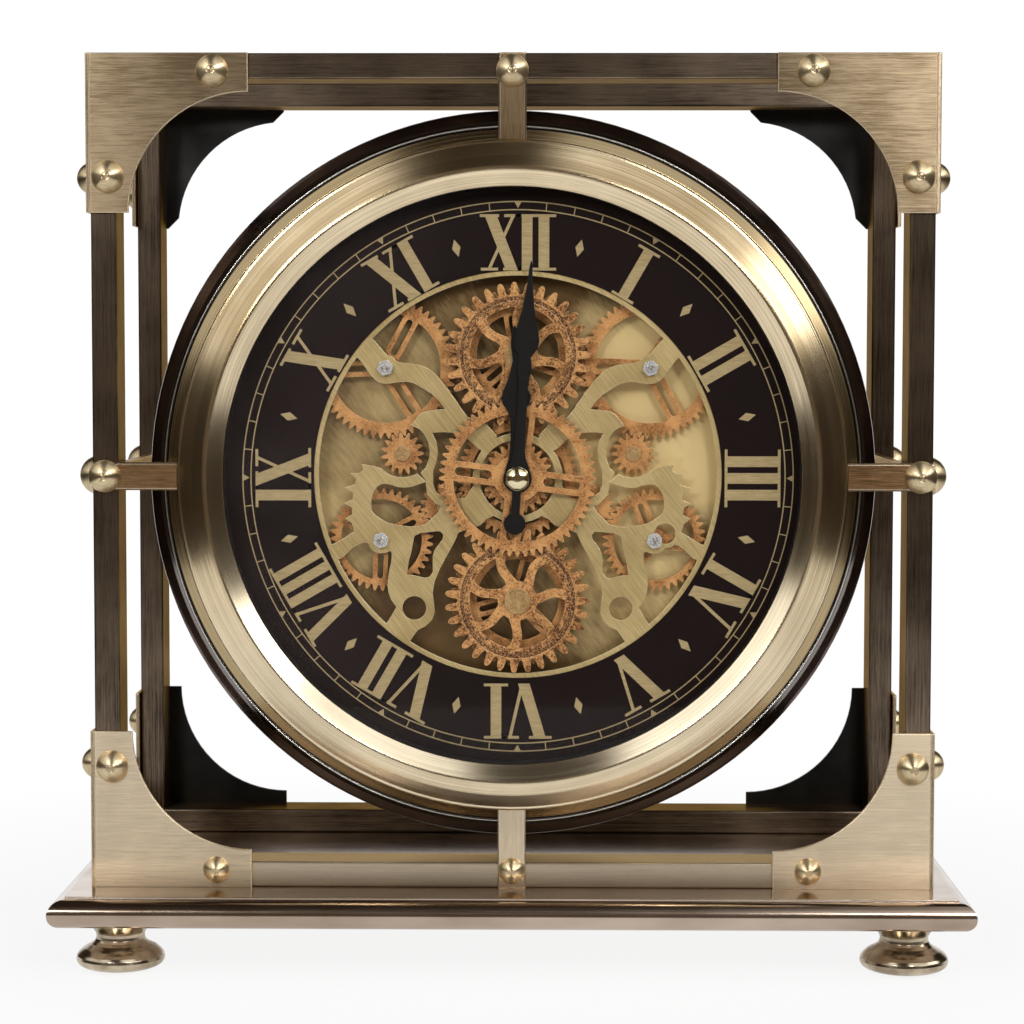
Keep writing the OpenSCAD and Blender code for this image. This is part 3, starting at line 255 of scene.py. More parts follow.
sheet = add(tree, "ShaderNodeBsdfDiffuse", Color=rgb(TABLE_WHITE, TABLE_WHITE, TABLE_WHITE))
lift = add(tree, "ShaderNodeEmission", Color=rgb(1, 1, 1), Strength=1.0)
from_clock = vector_calc(tree, "LENGTH", add(tree, "ShaderNodeTexCoord").outputs["Object"])
far = remap(tree, from_clock, LIFT_NEAR, LIFT_FAR, LIFT_LOW, 1.0)
ray = add(tree, "ShaderNodeLightPath").outputs
lifted = multiply(tree, ray["Is Camera Ray"], far)
lifted = plus(tree, lifted, multiply(tree, ray["Is Glossy Ray"], TABLE_GLOW))
mixed = add(tree, "ShaderNodeMixShader", i0=lifted, i1=sheet.outputs[0], i2=lift.outputs[0])
add(tree, "ShaderNodeOutputMaterial", Surface=mixed.outputs[0])
floor_mesh.materials.append(paper)

# %% [markdown]
# ## Brushed metal
# Brushing leaves thousands of fine scratches that all run one way. Noise stretched along
# that way looks the same: its length is the scratch's length, its width the scratch's width.
# On turned parts the scratches run in circles, so there the noise reads the distance from the
# axis and the direction around it.

# %% Coordinates that run with the brushing
def centred(tree, centre=(0, 0, 0), turn=(0, 0, 0), size=(1, 1, 1)):
    place = add(tree, "ShaderNodeTexCoord").outputs["Object"]
    mapping = tree.nodes.new("ShaderNodeMapping")
    mapping.vector_type = "TEXTURE"
    tree.links.new(place, mapping.inputs["Vector"])
    mapping.inputs["Location"].default_value = centre
    mapping.inputs["Rotation"].default_value = turn
    mapping.inputs["Scale"].default_value = size
    return mapping.outputs[0]


def around(tree, centre):
    """Distance from a level axis, the way out from it, and the depth along it."""
    place = split(tree, centred(tree, centre))
    flat = add(tree, "ShaderNodeCombineXYZ", X=place["X"], Z=place["Z"]).outputs[0]
    return vector_calc(tree, "LENGTH", flat), vector_calc(tree, "NORMALIZE", flat), place["Y"]


def turned_grain(tree, centre, width, turns):
    """Rings of the given width, which change slowly on their way around the axis."""
    reach, way, depth = around(tree, centre)
    out = split(tree, way)
    ring = calc(tree, "DIVIDE", plus(tree, reach, depth), width)
    x = multiply(tree, out["X"], turns)
    z = multiply(tree, out["Z"], turns)
    return add(tree, "ShaderNodeCombineXYZ", X=x, Y=ring, Z=z).outputs[0]


def noise(tree, vector, detail=3.0, roughness=0.6):
    node = add(tree, "ShaderNodeTexNoise", Vector=vector, Scale=1.0, Detail=detail, Roughness=roughness)
    return node.outputs["Fac"]


def speckle(tree, size, detail=3.0, roughness=0.6):
    """Noise of one size all ways."""
    return noise(tree, centred(tree, size=(size, size, size)), detail, roughness)

# %% [markdown]
# ## Edges
# Handling polishes the edges first, so they shine through the dark lacquer as thin pale
# lines. The Bevel node rounds the shading near an edge. Where its normal departs from the
# real one there is an edge, and the finish is paler there.

# %% Worn edges and the metal shader
EDGE_FROM, EDGE_FULL = 0.995, 0.9


def normal_of(tree):
    return add(tree, "ShaderNodeNewGeometry").outputs["Normal"]


def edge_wear(tree, radius):
    """The normal rounded at the edges, and how much of an edge each place is."""
    bevel = add(tree, "ShaderNodeBevel", Radius=radius)
    bevel.samples = 6
    rounded = bevel.outputs[0]
    same = vector_calc(tree, "DOT_PRODUCT", rounded, normal_of(tree))
    return rounded, remap(tree, same, EDGE_FROM, EDGE_FULL)


def start(name, metallic, **sockets):
    made = bpy.data.materials.new(name)
    made.use_nodes = True
    tree = made.node_tree
    tree.nodes.clear()
    shader = add(tree, "ShaderNodeBsdfPrincipled", Metallic=metallic)
    for key, value in sockets.items():
        shader.inputs[key.replace("_", " ")].default_value = value
    add(tree, "ShaderNodeOutputMaterial", Surface=shader.outputs[0])
    return made, tree, shader


def feed(tree, shader, **sockets):
    for key, value in sockets.items():
        tree.links.new(value, shader.inputs[key.replace("_", " ")])


def relief(tree, height, depth, strength, normal=None):
    node = add(tree, "ShaderNodeBump", Height=height, Distance=depth, Strength=strength)
    if normal is not None:
        tree.links.new(normal, node.inputs["Normal"])
    return node.outputs[0]

# %% A brushed brass with patina
FINE_SHARE = 0.65
ROUGH_SPREAD = 0.07
SCRATCH_DEPTH = 0.03 * MM


def mix(tree, first, second, share):
    """A sum of two values, of which the first has the share."""
    return plus(tree, multiply(tree, first, share), multiply(tree, second, 1 - share))


def brushed_brass(name, fine, coarse, cloud, dark, light, edge, rough, grain=None, edge_radius=0.5 * MM,
                  contrast=(0.38, 0.6), cloudy=0.25, tone=None, **sockets):
    """Brass with fine and coarse scratches, clouds, pale edges, and a tone over the whole."""
    made, tree, shader = start(name, 1.0, **sockets)
    fine = noise(tree, fine(tree), 4.0, 0.75)
    coarse = noise(tree, coarse(tree))
    cloud = noise(tree, cloud(tree), 3.0, 0.5)
    lines = mix(tree, fine, coarse, FINE_SHARE)
    colour = blend_colours(tree, remap(tree, mix(tree, cloud, lines, cloudy), *contrast), dark, light)
    if tone is not None:
        colour = tone(tree, colour)
    rounded, worn = edge_wear(tree, edge_radius)
    colour = blend_colours(tree, worn, colour, edge)
    roughness = remap(tree, lines, 0.3, 0.7, rough + ROUGH_SPREAD, rough - ROUGH_SPREAD)
    normal = relief(tree, fine, SCRATCH_DEPTH, 0.35, rounded)
    feed(tree, shader, Base_Color=colour, Roughness=roughness, Normal=normal)
    if grain is not None:
        feed(tree, shader, Tangent=grain(tree))
    return made


def grained(name, level, size, dark, light, rough, depth, strength, edge=None):
    """A plain finish with a fine grain, such as rubber, paint or plastic."""
    made, tree, shader = start(name, 0.0, Specular_IOR_Level=level)
    grain = speckle(tree, size)
    rounded = edge_wear(tree, edge)[0] if edge else None
    normal = relief(tree, grain, depth, strength, rounded)
    feed(tree, shader, Base_Color=blend_colours(tree, grain, dark, light),
         Roughness=remap(tree, grain, 0.3, 0.7, *rough), Normal=normal)
    return made


def along(axis, length, width):
    size = [width, width, width]
    size[axis] = length
    return lambda tree: centred(tree, size=size)


def spot(size):
    return lambda tree: centred(tree, size=(size, size, size))


# a little turn that keeps the grain from vanishing where the surface faces along it
NUDGE = (0.011, 0.013, 0.017)
LEVEL_AXIS = (0, 1, 0)


def across(tree, grain):
    """The way across the scratches, in the surface: there the brushed highlight spreads."""
    return vector_calc(tree, "ADD", vector_calc(tree, "CROSS_PRODUCT", normal_of(tree), grain), NUDGE)


def line_grain(axis):
    way = [0.0, 0.0, 0.0]
    way[axis] = 1.0
    return lambda tree: across(tree, way)


def ring_grain(centre):
    def make(tree):
        way = around(tree, centre)[1]
        return across(tree, vector_calc(tree, "CROSS_PRODUCT", way, LEVEL_AXIS))
    return make

# %% [markdown]
# ## Frame tubes and corner plates
# The tubes are drawn brass, toned dark brown and brushed along their length. The corner
# plates are brushed level, paler than the tubes, and their black toned twins close the
# back corners.

# %% Finish the tubes, plates and straps
X, Y, Z = 0, 1, 2
TUBE_DARK = rgb(0.055, 0.038, 0.027)
TUBE_LIGHT = rgb(0.34, 0.262, 0.19)
PLATE_DARK = rgb(0.25, 0.178, 0.1)
PLATE_LIGHT = rgb(0.62, 0.48, 0.31)
STRAP_DARK = rgb(0.17, 0.11, 0.055)
STRAP_LIGHT = rgb(0.42, 0.3, 0.17)
STRAP_SHADED_DARK = rgb(0.11, 0.058, 0.025)
STRAP_SHADED_LIGHT = rgb(0.3, 0.18, 0.088)
EDGE_PALE = rgb(0.92, 0.8, 0.6)
GRAZED = rgb(0.55, 0.4, 0.22)
LOW_REFLECTION_PALE, HIGH_SHADE_BROWN = rgb(1.0, 0.86, 0.64), rgb(0.2, 0.14, 0.08)
PAINTED_LIGHT_LOW, PAINTED_LIGHT_HIGH = 100 * MM, 300 * MM


def paint(material, *names):
    for name in names:
        mesh = NODES[name].data
        mesh.materials.clear()
        mesh.materials.append(material)


def painted_light_by_height(tree, colour):
    """Paints the low parts of the frame paler, as a painted reflection of the white table, and the high
    parts browner, as painted shade.
    """
    height = split(tree, centred(tree))["Z"]
    colour = blend_colours(tree, remap(tree, height, PAINTED_LIGHT_HIGH, PAINTED_LIGHT_LOW, 0.0, 0.5), colour, LOW_REFLECTION_PALE)
    return blend_colours(tree, remap(tree, height, PAINTED_LIGHT_LOW, PAINTED_LIGHT_HIGH, 0.0, 0.25), colour, HIGH_SHADE_BROWN)


def tube_finish(name, axis, tone=None):
    return brushed_brass(name, along(axis, 14 * MM, 0.25 * MM), along(axis, 40 * MM, 0.7 * MM),
                         spot(30 * MM), TUBE_DARK, TUBE_LIGHT, EDGE_PALE, 0.31, line_grain(axis),
                         contrast=(0.4, 0.6), tone=tone, Anisotropic=0.7, Specular_Tint=GRAZED)


paint(tube_finish("tube_upright", Z),
      "tube_front_left", "tube_front_right", "tube_rear_left", "tube_rear_right")
paint(tube_finish("tube_level", X), "tube_front_top", "tube_rear_top", "tube_rear_bottom")
# The bottom tube takes painted light by height: paler low down, browner higher up.
paint(tube_finish("tube_painted_light", X, painted_light_by_height), "tube_front_bottom")
paint(tube_finish("tube_deep", Y), "depth_rails", "tie_bars")


def plate_finish(name, axis, dark, light, tone=None):
    return brushed_brass(name, along(axis, 9 * MM, 0.36 * MM), along(axis, 22 * MM, 0.8 * MM),
                         spot(30 * MM), dark, light, EDGE_PALE, 0.34, line_grain(axis), 0.8 * MM,
                         (0.43, 0.56), 0.3, tone, Anisotropic=0.85, Specular_Tint=GRAZED)


# The front plates and the upright straps take the same painted light and shade by height.
paint(plate_finish("plate_level", X, PLATE_DARK, PLATE_LIGHT, painted_light_by_height), "gussets_front")
paint(plate_finish("plate_side", Y, PLATE_DARK, PLATE_LIGHT), "gussets_left", "gussets_right")
paint(plate_finish("strap_upright", Z, STRAP_DARK, STRAP_LIGHT, painted_light_by_height),
      "strap_top", "strap_bottom")
# The left and right straps take a darker copy of the strap colours: painted shade.
paint(plate_finish("strap_level", X, STRAP_SHADED_DARK, STRAP_SHADED_LIGHT), "strap_left", "strap_right")

# %% Tone the rear plates dark
made, tree, shader = start("plate_toned", 0.6, Specular_IOR_Level=0.4)
cloud = speckle(tree, 12 * MM)
rounded, worn = edge_wear(tree, 0.4 * MM)
colour = blend_colours(tree, cloud, rgb(0.012, 0.012, 0.012), rgb(0.035, 0.033, 0.03))
colour = blend_colours(tree, multiply(tree, worn, 0.35), colour, rgb(0.3, 0.25, 0.17))
feed(tree, shader, Base_Color=colour, Roughness=remap(tree, cloud, 0.3, 0.7, 0.3, 0.42), Normal=rounded)
paint(made, "gussets_rear")

# %% [markdown]
# ## Base and feet
# The base is polished and toned a pinkish bronze under lacquer. The feet are turned and
# polished, so their grain runs in fine rings about the upright axis.

# %% Finish the base
made, tree, shader = start("base_polished", 1.0, Coat_Weight=0.35, Coat_Roughness=0.06)
fine = noise(tree, centred(tree, size=(60 * MM, 0.5 * MM, 0.5 * MM)), 4.0, 0.7)
cloud = noise(tree, centred(tree, size=(60 * MM, 25 * MM, 25 * MM)), 3.0, 0.5)
colour = blend_colours(tree, remap(tree, cloud, 0.35, 0.65), rgb(0.36, 0.27, 0.2), rgb(0.56, 0.45, 0.36))
rounded, worn = edge_wear(tree, 0.5 * MM)
colour = blend_colours(tree, multiply(tree, worn, 0.5), colour, rgb(0.85, 0.72, 0.55))
feed(tree, shader, Base_Color=colour, Roughness=remap(tree, fine, 0.3, 0.7, 0.12, 0.2),
     Normal=relief(tree, fine, 0.01 * MM, 0.2, rounded))
paint(made, "base")

# %% Finish the feet, one material for all four
made, tree, shader = start("feet_turned", 1.0)
fine = noise(tree, centred(tree, size=(15 * MM, 15 * MM, 0.25 * MM)), 4.0, 0.7)
cloud = speckle(tree, 9 * MM, 3.0, 0.5)
colour = blend_colours(tree, remap(tree, cloud, 0.35, 0.65), rgb(0.34, 0.275, 0.19), rgb(0.66, 0.56, 0.42))
rounded = edge_wear(tree, 0.3 * MM)[0]
feed(tree, shader, Base_Color=colour, Roughness=remap(tree, fine, 0.3, 0.7, 0.12, 0.22),
     Normal=relief(tree, fine, 0.01 * MM, 0.25, rounded))
paint(made, "foot_front_left", "foot_front_right", "foot_rear_left", "foot_rear_right")

# %% Rubber pads under the feet
paint(grained("pad_rubber", 0.3, 0.6 * MM, rgb(0.02, 0.02, 0.02), rgb(0.05, 0.05, 0.05), (0.6, 0.8),
              0.1 * MM, 0.4), "foot_pads")

# %% [markdown]
# ## Domed studs
# Each stud is turned on a lathe and left with its turning rings, so the light on it opens
# into a fan from the small dimple at its middle. To brush the metal in rings, every stud
# carries two values on its surface: the distance from its own axis and the way around it.
# The studs are made afresh as smooth domes on the places of the solid ones.

# %% Measure the solid studs
SAME_PLACE = 0.001 * MM


def islands(name):
    """Boxes of the separate solids in one node, as low and high corners."""
    shape = bmesh.new()
    shape.from_mesh(NODES[name].data)
    bmesh.ops.remove_doubles(shape, verts=shape.verts, dist=SAME_PLACE)
    left = set(shape.verts)
    boxes = []
    for first in shape.verts:
        if first not in left:
            continue
        left.remove(first)
        found = [first]
        for corner in found:
            for edge in corner.link_edges:
                other = edge.other_vert(corner)
                if other in left:
                    left.remove(other)
                    found.append(other)
        places = [NODES[name].matrix_world @ corner.co for corner in found]
        low = Vector(min(place[axis] for place in places) for axis in range(3))
        high = Vector(max(place[axis] for place in places) for axis in range(3))
        boxes.append((low, high))
    shape.free()
    return boxes


STUD_NODES = {"balls_front": (0, -1, 0), "balls_small": (0, -1, 0), "balls_rear": (0, 1, 0),
              "balls_left": (-1, 0, 0), "balls_right": (1, 0, 0)}
for name in STUD_NODES:
    print(name, "studs:", len(islands(name)))

# %% Turn the studs
DIMPLE_SHARE = 0.24
STUD_SIDES, STUD_RINGS = 48, 24
RINGS_ACROSS = 38.0


def add_stud(shape, low, high, axis):
    """A dome on the box of a solid stud, standing along the axis, with its ring values."""
    axis = Vector(axis)
    size = high - low
    rise = abs(size.dot(axis))
    radius = max(size) / 2
    middle = (low + high) / 2
    foot = middle - axis * rise / 2
    centre = foot + axis * (rise - radius)
    stand = axis.to_track_quat("Z", "Y").to_matrix().to_4x4()
    made = bmesh.ops.create_uvsphere(shape, u_segments=STUD_SIDES, v_segments=STUD_RINGS, radius=radius,
                                     matrix=Matrix.Translation(centre) @ stand)
    corners = made["verts"]
    faces = list(dict.fromkeys(face for corner in corners for face in corner.link_faces))
    edges = list(dict.fromkeys(edge for corner in corners for edge in corner.link_edges))
    cut = bmesh.ops.bisect_plane(shape, geom=corners + edges + faces, dist=SAME_PLACE, plane_co=foot,
                                 plane_no=axis, clear_inner=True)
    rim = [part for part in cut["geom_cut"] if isinstance(part, bmesh.types.BMEdge)]
    bmesh.ops.holes_fill(shape, edges=rim)
    reach = shape.verts.layers.float["stud_reach"]
    way = shape.verts.layers.float_vector["stud_way"]
    kept = [corner for corner in corners if corner.is_valid]
    for corner in kept + [corner for edge in rim for corner in edge.verts]:
        out = corner.co - foot
        out -= axis * out.dot(axis)
        corner[reach] = out.length / radius
        corner[way] = axis.cross(out).normalized()


def stud_piece(name, node, axis, material):
    shape = bmesh.new()
    shape.verts.layers.float.new("stud_reach")
    shape.verts.layers.float_vector.new("stud_way")
    for low, high in islands(node):
        add_stud(shape, low, high, axis)
    bmesh.ops.recalc_face_normals(shape, faces=shape.faces)
    for face in shape.faces:
        face.smooth = len(face.verts) < 5
    mesh = bpy.data.meshes.new(name)
    shape.to_mesh(mesh)
    shape.free()
    mesh.materials.append(material)
    piece = bpy.data.objects.new(name, mesh)
    bpy.context.scene.collection.objects.link(piece)
    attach(piece, CLOCK)
    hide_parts(node)
    return piece


turned_brass, tree, shader = start("stud_turned", 1.0, Anisotropic=0.85)
held_reach = tree.nodes.new("ShaderNodeAttribute")
held_reach.attribute_name = "stud_reach"
reach = held_reach.outputs["Fac"]
held_way = tree.nodes.new("ShaderNodeAttribute")
held_way.attribute_name = "stud_way"
way = held_way.outputs["Vector"]
turning = add(tree, "ShaderNodeTexNoise", Vector=way, Scale=0.7, Detail=4.0, Roughness=0.7)
turning.noise_dimensions = "4D"
fill(tree, turning, "W", multiply(tree, reach, RINGS_ACROSS))
lines = turning.outputs["Fac"]
dimple = remap(tree, reach, DIMPLE_SHARE - 0.04, DIMPLE_SHARE + 0.02)
colour = blend_colours(tree, remap(tree, lines, 0.35, 0.65), rgb(0.52, 0.4, 0.22), rgb(0.84, 0.7, 0.46))
colour = blend_colours(tree, remap(tree, dimple, 0.0, 1.0, 0.35, 0.0), colour, rgb(0.2, 0.14, 0.08))
height = plus(tree, multiply(tree, lines, 0.1), dimple)
feed(tree, shader, Base_Color=colour, Roughness=remap(tree, lines, 0.3, 0.7, 0.4, 0.3),
     Normal=relief(tree, height, 0.3 * MM, 0.6), Tangent=across(tree, way))
for name, axis in STUD_NODES.items():
    piece = stud_piece(name.replace("balls", "studs"), name, axis, turned_brass)
    print(piece.name, "faces:", len(piece.data.polygons))

# %% [markdown]
# ## Drum and bezel
# The drum is painted gloss black, with a bright bead near its front and a bronze rim in front
# of it. Its bezel is spun brass, brushed in circles on a lathe: fine rings, a few deeper ones,
# and light and dark tone that changes from ring to ring.

# %% Paint the drum
DRUM_AXIS = (DRUM_CENTRE.x, 0, DRUM_CENTRE.z)
BEAD_R = 136.9 * MM
BEAD_HALF, GROOVE_HALF = 0.6 * MM, 1.5 * MM
BRONZE_BACK = drum_low.y + 16 * MM
LIP_BACK = drum_low.y + 3.6 * MM
DRUM_BLACK = rgb(0.012, 0.011, 0.011)
DRUM_BRONZE = rgb(0.22, 0.16, 0.135)
made, tree, shader = start("drum_gloss", 1.0, Coat_Weight=0.15, Coat_Roughness=0.05, Specular_IOR_Level=0.5)
speck = noise(tree, turned_grain(tree, DRUM_AXIS, 0.5 * MM, 1.5), 4.0, 0.7)
rounded = edge_wear(tree, 0.4 * MM)[0]
reach, _, depth = around(tree, DRUM_AXIS)
off_bead = calc(tree, "ABSOLUTE", calc(tree, "SUBTRACT", reach, BEAD_R))
bead = remap(tree, off_bead, BEAD_HALF, BEAD_HALF - 0.3 * MM)
groove = remap(tree, off_bead, GROOVE_HALF, GROOVE_HALF - 0.4 * MM)
rim = multiply(tree, remap(tree, reach, BEAD_R, BEAD_R + 1 * MM),
               remap(tree, depth, BRONZE_BACK, BRONZE_BACK - 2 * MM))
lip = multiply(tree, remap(tree, reach, BEAD_R, BEAD_R - 0.1 * MM),
               remap(tree, depth, LIP_BACK, LIP_BACK - 0.5 * MM))
brass = blend_colours(tree, remap(tree, speck, 0.35, 0.65), rgb(0.36, 0.26, 0.13), rgb(0.6, 0.47, 0.27))
colour = blend_colours(tree, rim, DRUM_BLACK, DRUM_BRONZE)
colour = blend_colours(tree, lip, colour, brass)
colour = blend_colours(tree, groove, colour, DRUM_BLACK)
colour = blend_colours(tree, bead, colour, rgb(0.85, 0.82, 0.76))
feed(tree, shader, Base_Color=colour, Roughness=remap(tree, speck, 0.3, 0.7, 0.14, 0.26),
     Normal=relief(tree, speck, 0.02 * MM, 0.15, rounded))
paint(made, "drum_shell")

# %% Spin and brush the bezel
bezel_low, bezel_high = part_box("bezel")
OUTER_SLOPE = 11.5 * MM
RIDGE_R = (bezel_high.x - bezel_low.x) / 2 - OUTER_SLOPE
SHOULDER_W = 5.2 * MM
BEZEL_PAINTED_PALE, BEZEL_PAINTED_DEEP = rgb(1.0, 0.9, 0.7), rgb(0.28, 0.2, 0.1)


def painted_bezel_light(tree, colour):
    """Paints the slope inside the ridge and the lower half paler, as painted reflection, and the upper
    shoulder deeper, as painted shade.
    """
    reach, way = around(tree, DRUM_AXIS)[:2]
    up = split(tree, way)["Z"]
    shoulder_end = RIDGE_R + SHOULDER_W
    shoulder = multiply(tree, remap(tree, reach, RIDGE_R + 0.5 * MM, RIDGE_R + 1.5 * MM),
                        remap(tree, reach, shoulder_end, shoulder_end - 0.6 * MM, 0.0, 0.55))
    colour = blend_colours(tree, multiply(tree, shoulder, remap(tree, up, -0.2, 0.2)), colour, BEZEL_PAINTED_DEEP)
    colour = blend_colours(tree, remap(tree, up, -0.2, -0.6, 0.0, 0.35), colour, BEZEL_PAINTED_PALE)
    inside = remap(tree, reach, RIDGE_R, RIDGE_R - 0.8 * MM, 0.0, 0.25)
    return blend_colours(tree, inside, colour, BEZEL_PAINTED_PALE)


def rings(width, turns):
    return lambda tree: turned_grain(tree, DRUM_AXIS, width, turns)


# The bezel carries painted light: paler low down and inside the ridge, deeper on the upper shoulder.
bezel_finish = brushed_brass("bezel_turned", rings(0.22 * MM, 1.6), rings(0.8 * MM, 0.8), spot(40 * MM),
                             rgb(0.42, 0.31, 0.16), rgb(0.88, 0.71, 0.46), rgb(0.97, 0.86, 0.62), 0.2,
                             ring_grain(DRUM_AXIS), 0.6 * MM, (0.42, 0.58), tone=painted_bezel_light, Anisotropic=0.5)
paint(bezel_finish, "bezel")

# %% Blacken the inner ring and the rear cover
paint(grained("ring_black", 0.4, 0.8 * MM, rgb(0.006, 0.006, 0.006), rgb(0.016, 0.015, 0.015),
              (0.35, 0.5), 0.02 * MM, 0.2), "inner_ring")
paint(grained("cover_satin", 0.5, 0.5 * MM, rgb(0.012, 0.012, 0.013), rgb(0.03, 0.03, 0.031),
              (0.38, 0.55), 0.06 * MM, 0.4, 0.3 * MM), "rear_cover")

# %% [markdown]
# ## Glass
# Flat clock glass only shows itself by what it mirrors, a few hundredths of the room. One
# shader does both: it is a mirror whose alpha is the Fresnel share, so the rest of the light
# goes straight through and the dial stays lit. The coating on clock glass takes away most
# of the mirroring, so the share is scaled down. A faint pinkish layer on the left and at the
# foot of the glass is a painted reflection of the room, seen as a soft haze.

# %% Glaze the dial
COATED = 0.1
PAINTED_REFLECTION_SHARE = 0.008
PAINTED_REFLECTION_LEFT = (-5 * MM, -90 * MM)
PAINTED_REFLECTION_LOW = (-80 * MM, -115 * MM)
made, tree, shader = start("clear_glass", 0.0, Roughness=0.02)
glance = multiply(tree, add(tree, "ShaderNodeFresnel", IOR=1.5).outputs[0], COATED)
place = split(tree, centred(tree, DIAL_CENTRE))
cloud = speckle(tree, 38 * MM, 2.0, 0.5)
# The pinkish layer on the left and at the foot is a painted reflection of the room.
left = multiply(tree, remap(tree, place["X"], *PAINTED_REFLECTION_LEFT), remap(tree, cloud, 0.35, 0.6, 0.35, 1.0))
low = remap(tree, place["Z"], *PAINTED_REFLECTION_LOW, 0.0, 0.4)
painted_reflection = multiply(tree, calc(tree, "MAXIMUM", left, low), PAINTED_REFLECTION_SHARE)
seen = plus(tree, glance, painted_reflection)
colour = blend_colours(tree, calc(tree, "DIVIDE", painted_reflection, seen), rgb(0.95, 0.97, 1.0), rgb(0.9, 0.68, 0.66))
feed(tree, shader, Base_Color=colour, Alpha=seen, Metallic=calc(tree, "DIVIDE", glance, seen))
paint(made, "glass")

# %% [markdown]
# ## Dial ring and the plates behind it
# The hour ring is dark brown lacquer. The cut plate in the window is pale brass brushed on
# the slant, and the plate behind the gears is a deeper gold with cloudy polish marks.
# The shadows of the gears and the highlights on the back plate are painted into its colour.

# %% Lacquer the hour ring
made, tree, shader = start("dial_lacquer", 0.0, Specular_IOR_Level=0.15)
cloud = speckle(tree, 40 * MM, 3.0, 0.5)
grain = speckle(tree, 0.5 * MM)
colour = blend_colours(tree, cloud, rgb(0.0045, 0.0016, 0.0012), rgb(0.012, 0.004, 0.003))
feed(tree, shader, Base_Color=colour, Roughness=remap(tree, grain, 0.3, 0.7, 0.35, 0.48),
     Normal=relief(tree, grain, 0.01 * MM, 0.2))
paint(made, "chapter_ring")

# %% Brush the cut plate
SLANT = (0, math.radians(52), 0)


def slanted(length, thick, width):
    return lambda tree: centred(tree, turn=SLANT, size=(length, thick, width))


paint(brushed_brass("cut_plate", slanted(16 * MM, 2 * MM, 0.26 * MM), slanted(26 * MM, 2 * MM, 0.8 * MM),
                    spot(20 * MM), rgb(0.4, 0.285, 0.11), rgb(0.84, 0.655, 0.33), rgb(1.0, 0.93, 0.66),
                    0.44, edge_radius=0.3 * MM), "skeleton_plate")

# %% Paint light and shade on the back plate
SHADE_SIDE = (18 * MM, 55 * MM)
SHADE_HEIGHT = 14 * MM
SHADE_LEVEL = (12 * MM, 60 * MM)
SHADE_WIDE = (-60 * MM, 60 * MM)
made, tree, shader = start("back_plate", 0.4)
cloud = speckle(tree, 45 * MM, 2.0, 0.5)
smear = noise(tree, slanted(7 * MM, 2 * MM, 1.5 * MM)(tree))
place = split(tree, centred(tree, DIAL_CENTRE))
off_level = calc(tree, "ABSOLUTE", calc(tree, "SUBTRACT", place["Z"], SHADE_HEIGHT))
tone = mix(tree, cloud, smear, 0.8)
# Painted shadow and highlight: darker near the middle and far above and below, where the gears and cut
# plate shade it, paler to each side and towards the right.
tone = plus(tree, tone, remap(tree, calc(tree, "ABSOLUTE", place["X"]), *SHADE_SIDE, -0.12, 0.06))
tone = plus(tree, tone, remap(tree, place["X"], *SHADE_WIDE, -0.07, 0.15))
tone = plus(tree, tone, remap(tree, off_level, *SHADE_LEVEL, 0.02, -0.16))
colour = blend_colours(tree, remap(tree, tone, 0.3, 0.62), rgb(0.17, 0.095, 0.03), rgb(1.0, 0.77, 0.36))
feed(tree, shader, Base_Color=colour, Roughness=remap(tree, smear, 0.3, 0.7, 0.36, 0.28),
     Normal=relief(tree, cloud, 0.6 * MM, 0.25))
paint(made, "back_plate")

# %% [markdown]
# ## Copper gears
# The gears are coppered and then aged: the copper is dull, with dark pits and pale, rubbed
# tooth edges. Two sizes of speckle give the pits, and the edge mask gives the rubbing. The
# coarse wheels also have a ring of deeper pits at the foot of their teeth.
# The sides of the teeth and rims, which do not face the front, are painted darker: painted shade between
# the layers.

# %% Age the gears
COARSE = ["upper_wheel", "lower_wheel"]
GEARS = [name for name in NODES if any(kind in name for kind in ("gear", "wheel", "pinion", "idler"))]
PIT_RING_IN = (18.5 * MM, 21.5 * MM)
PIT_RING_OUT = (23.1 * MM, 22.7 * MM)
PIT_SPREAD = 0.09
COPPER_DEEP, COPPER_LIGHT = rgb(0.42, 0.18, 0.05), rgb(0.7, 0.36, 0.13)
PIT_BROWN = rgb(0.075, 0.026, 0.01)


def gear_finish(name, pits, centre=None):
    made, tree, shader = start(name, 0.4, Specular_IOR_Level=0.4)
    speck = speckle(tree, 0.8 * MM, 4.0, 0.8)
    cloud = speckle(tree, 7 * MM)
    pitted = mix(tree, speck, cloud, 0.8)
    if centre is not None:
        reach = around(tree, centre)[0]
        ring = multiply(tree, remap(tree, reach, *PIT_RING_IN), remap(tree, reach, *PIT_RING_OUT))
        pitted = calc(tree, "SUBTRACT", pitted, multiply(tree, ring, multiply(tree, cloud, 0.14)))
    colour = blend_colours(tree, remap(tree, cloud, 0.35, 0.65), COPPER_DEEP, COPPER_LIGHT)
    colour = blend_colours(tree, remap(tree, pitted, pits, pits - PIT_SPREAD), colour, PIT_BROWN)
    colour = blend_colours(tree, remap(tree, speck, 0.57, 0.68), colour, rgb(0.88, 0.54, 0.26))
    # Painted shade: faces that do not look to the front are darkened.
    facing = calc(tree, "ABSOLUTE", split(tree, normal_of(tree))["Y"])
    colour = blend_colours(tree, remap(tree, facing, 0.7, 0.3, 0.0, 0.75), colour, rgb(0.1, 0.035, 0.015))
    rounded, worn = edge_wear(tree, 0.25 * MM)
    colour = blend_colours(tree, multiply(tree, worn, 0.7), colour, rgb(0.98, 0.68, 0.38))
    feed(tree, shader, Base_Color=colour, Roughness=remap(tree, speck, 0.35, 0.65, 0.6, 0.4),
         Normal=relief(tree, speck, 0.08 * MM, 0.6, rounded))
    return made


for name in COARSE:
    low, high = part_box(name)
    paint(gear_finish(name + "_aged", 0.5, (low + high) / 2), name)
paint(gear_finish("gear_aged", 0.47), *[name for name in GEARS if name not in COARSE])

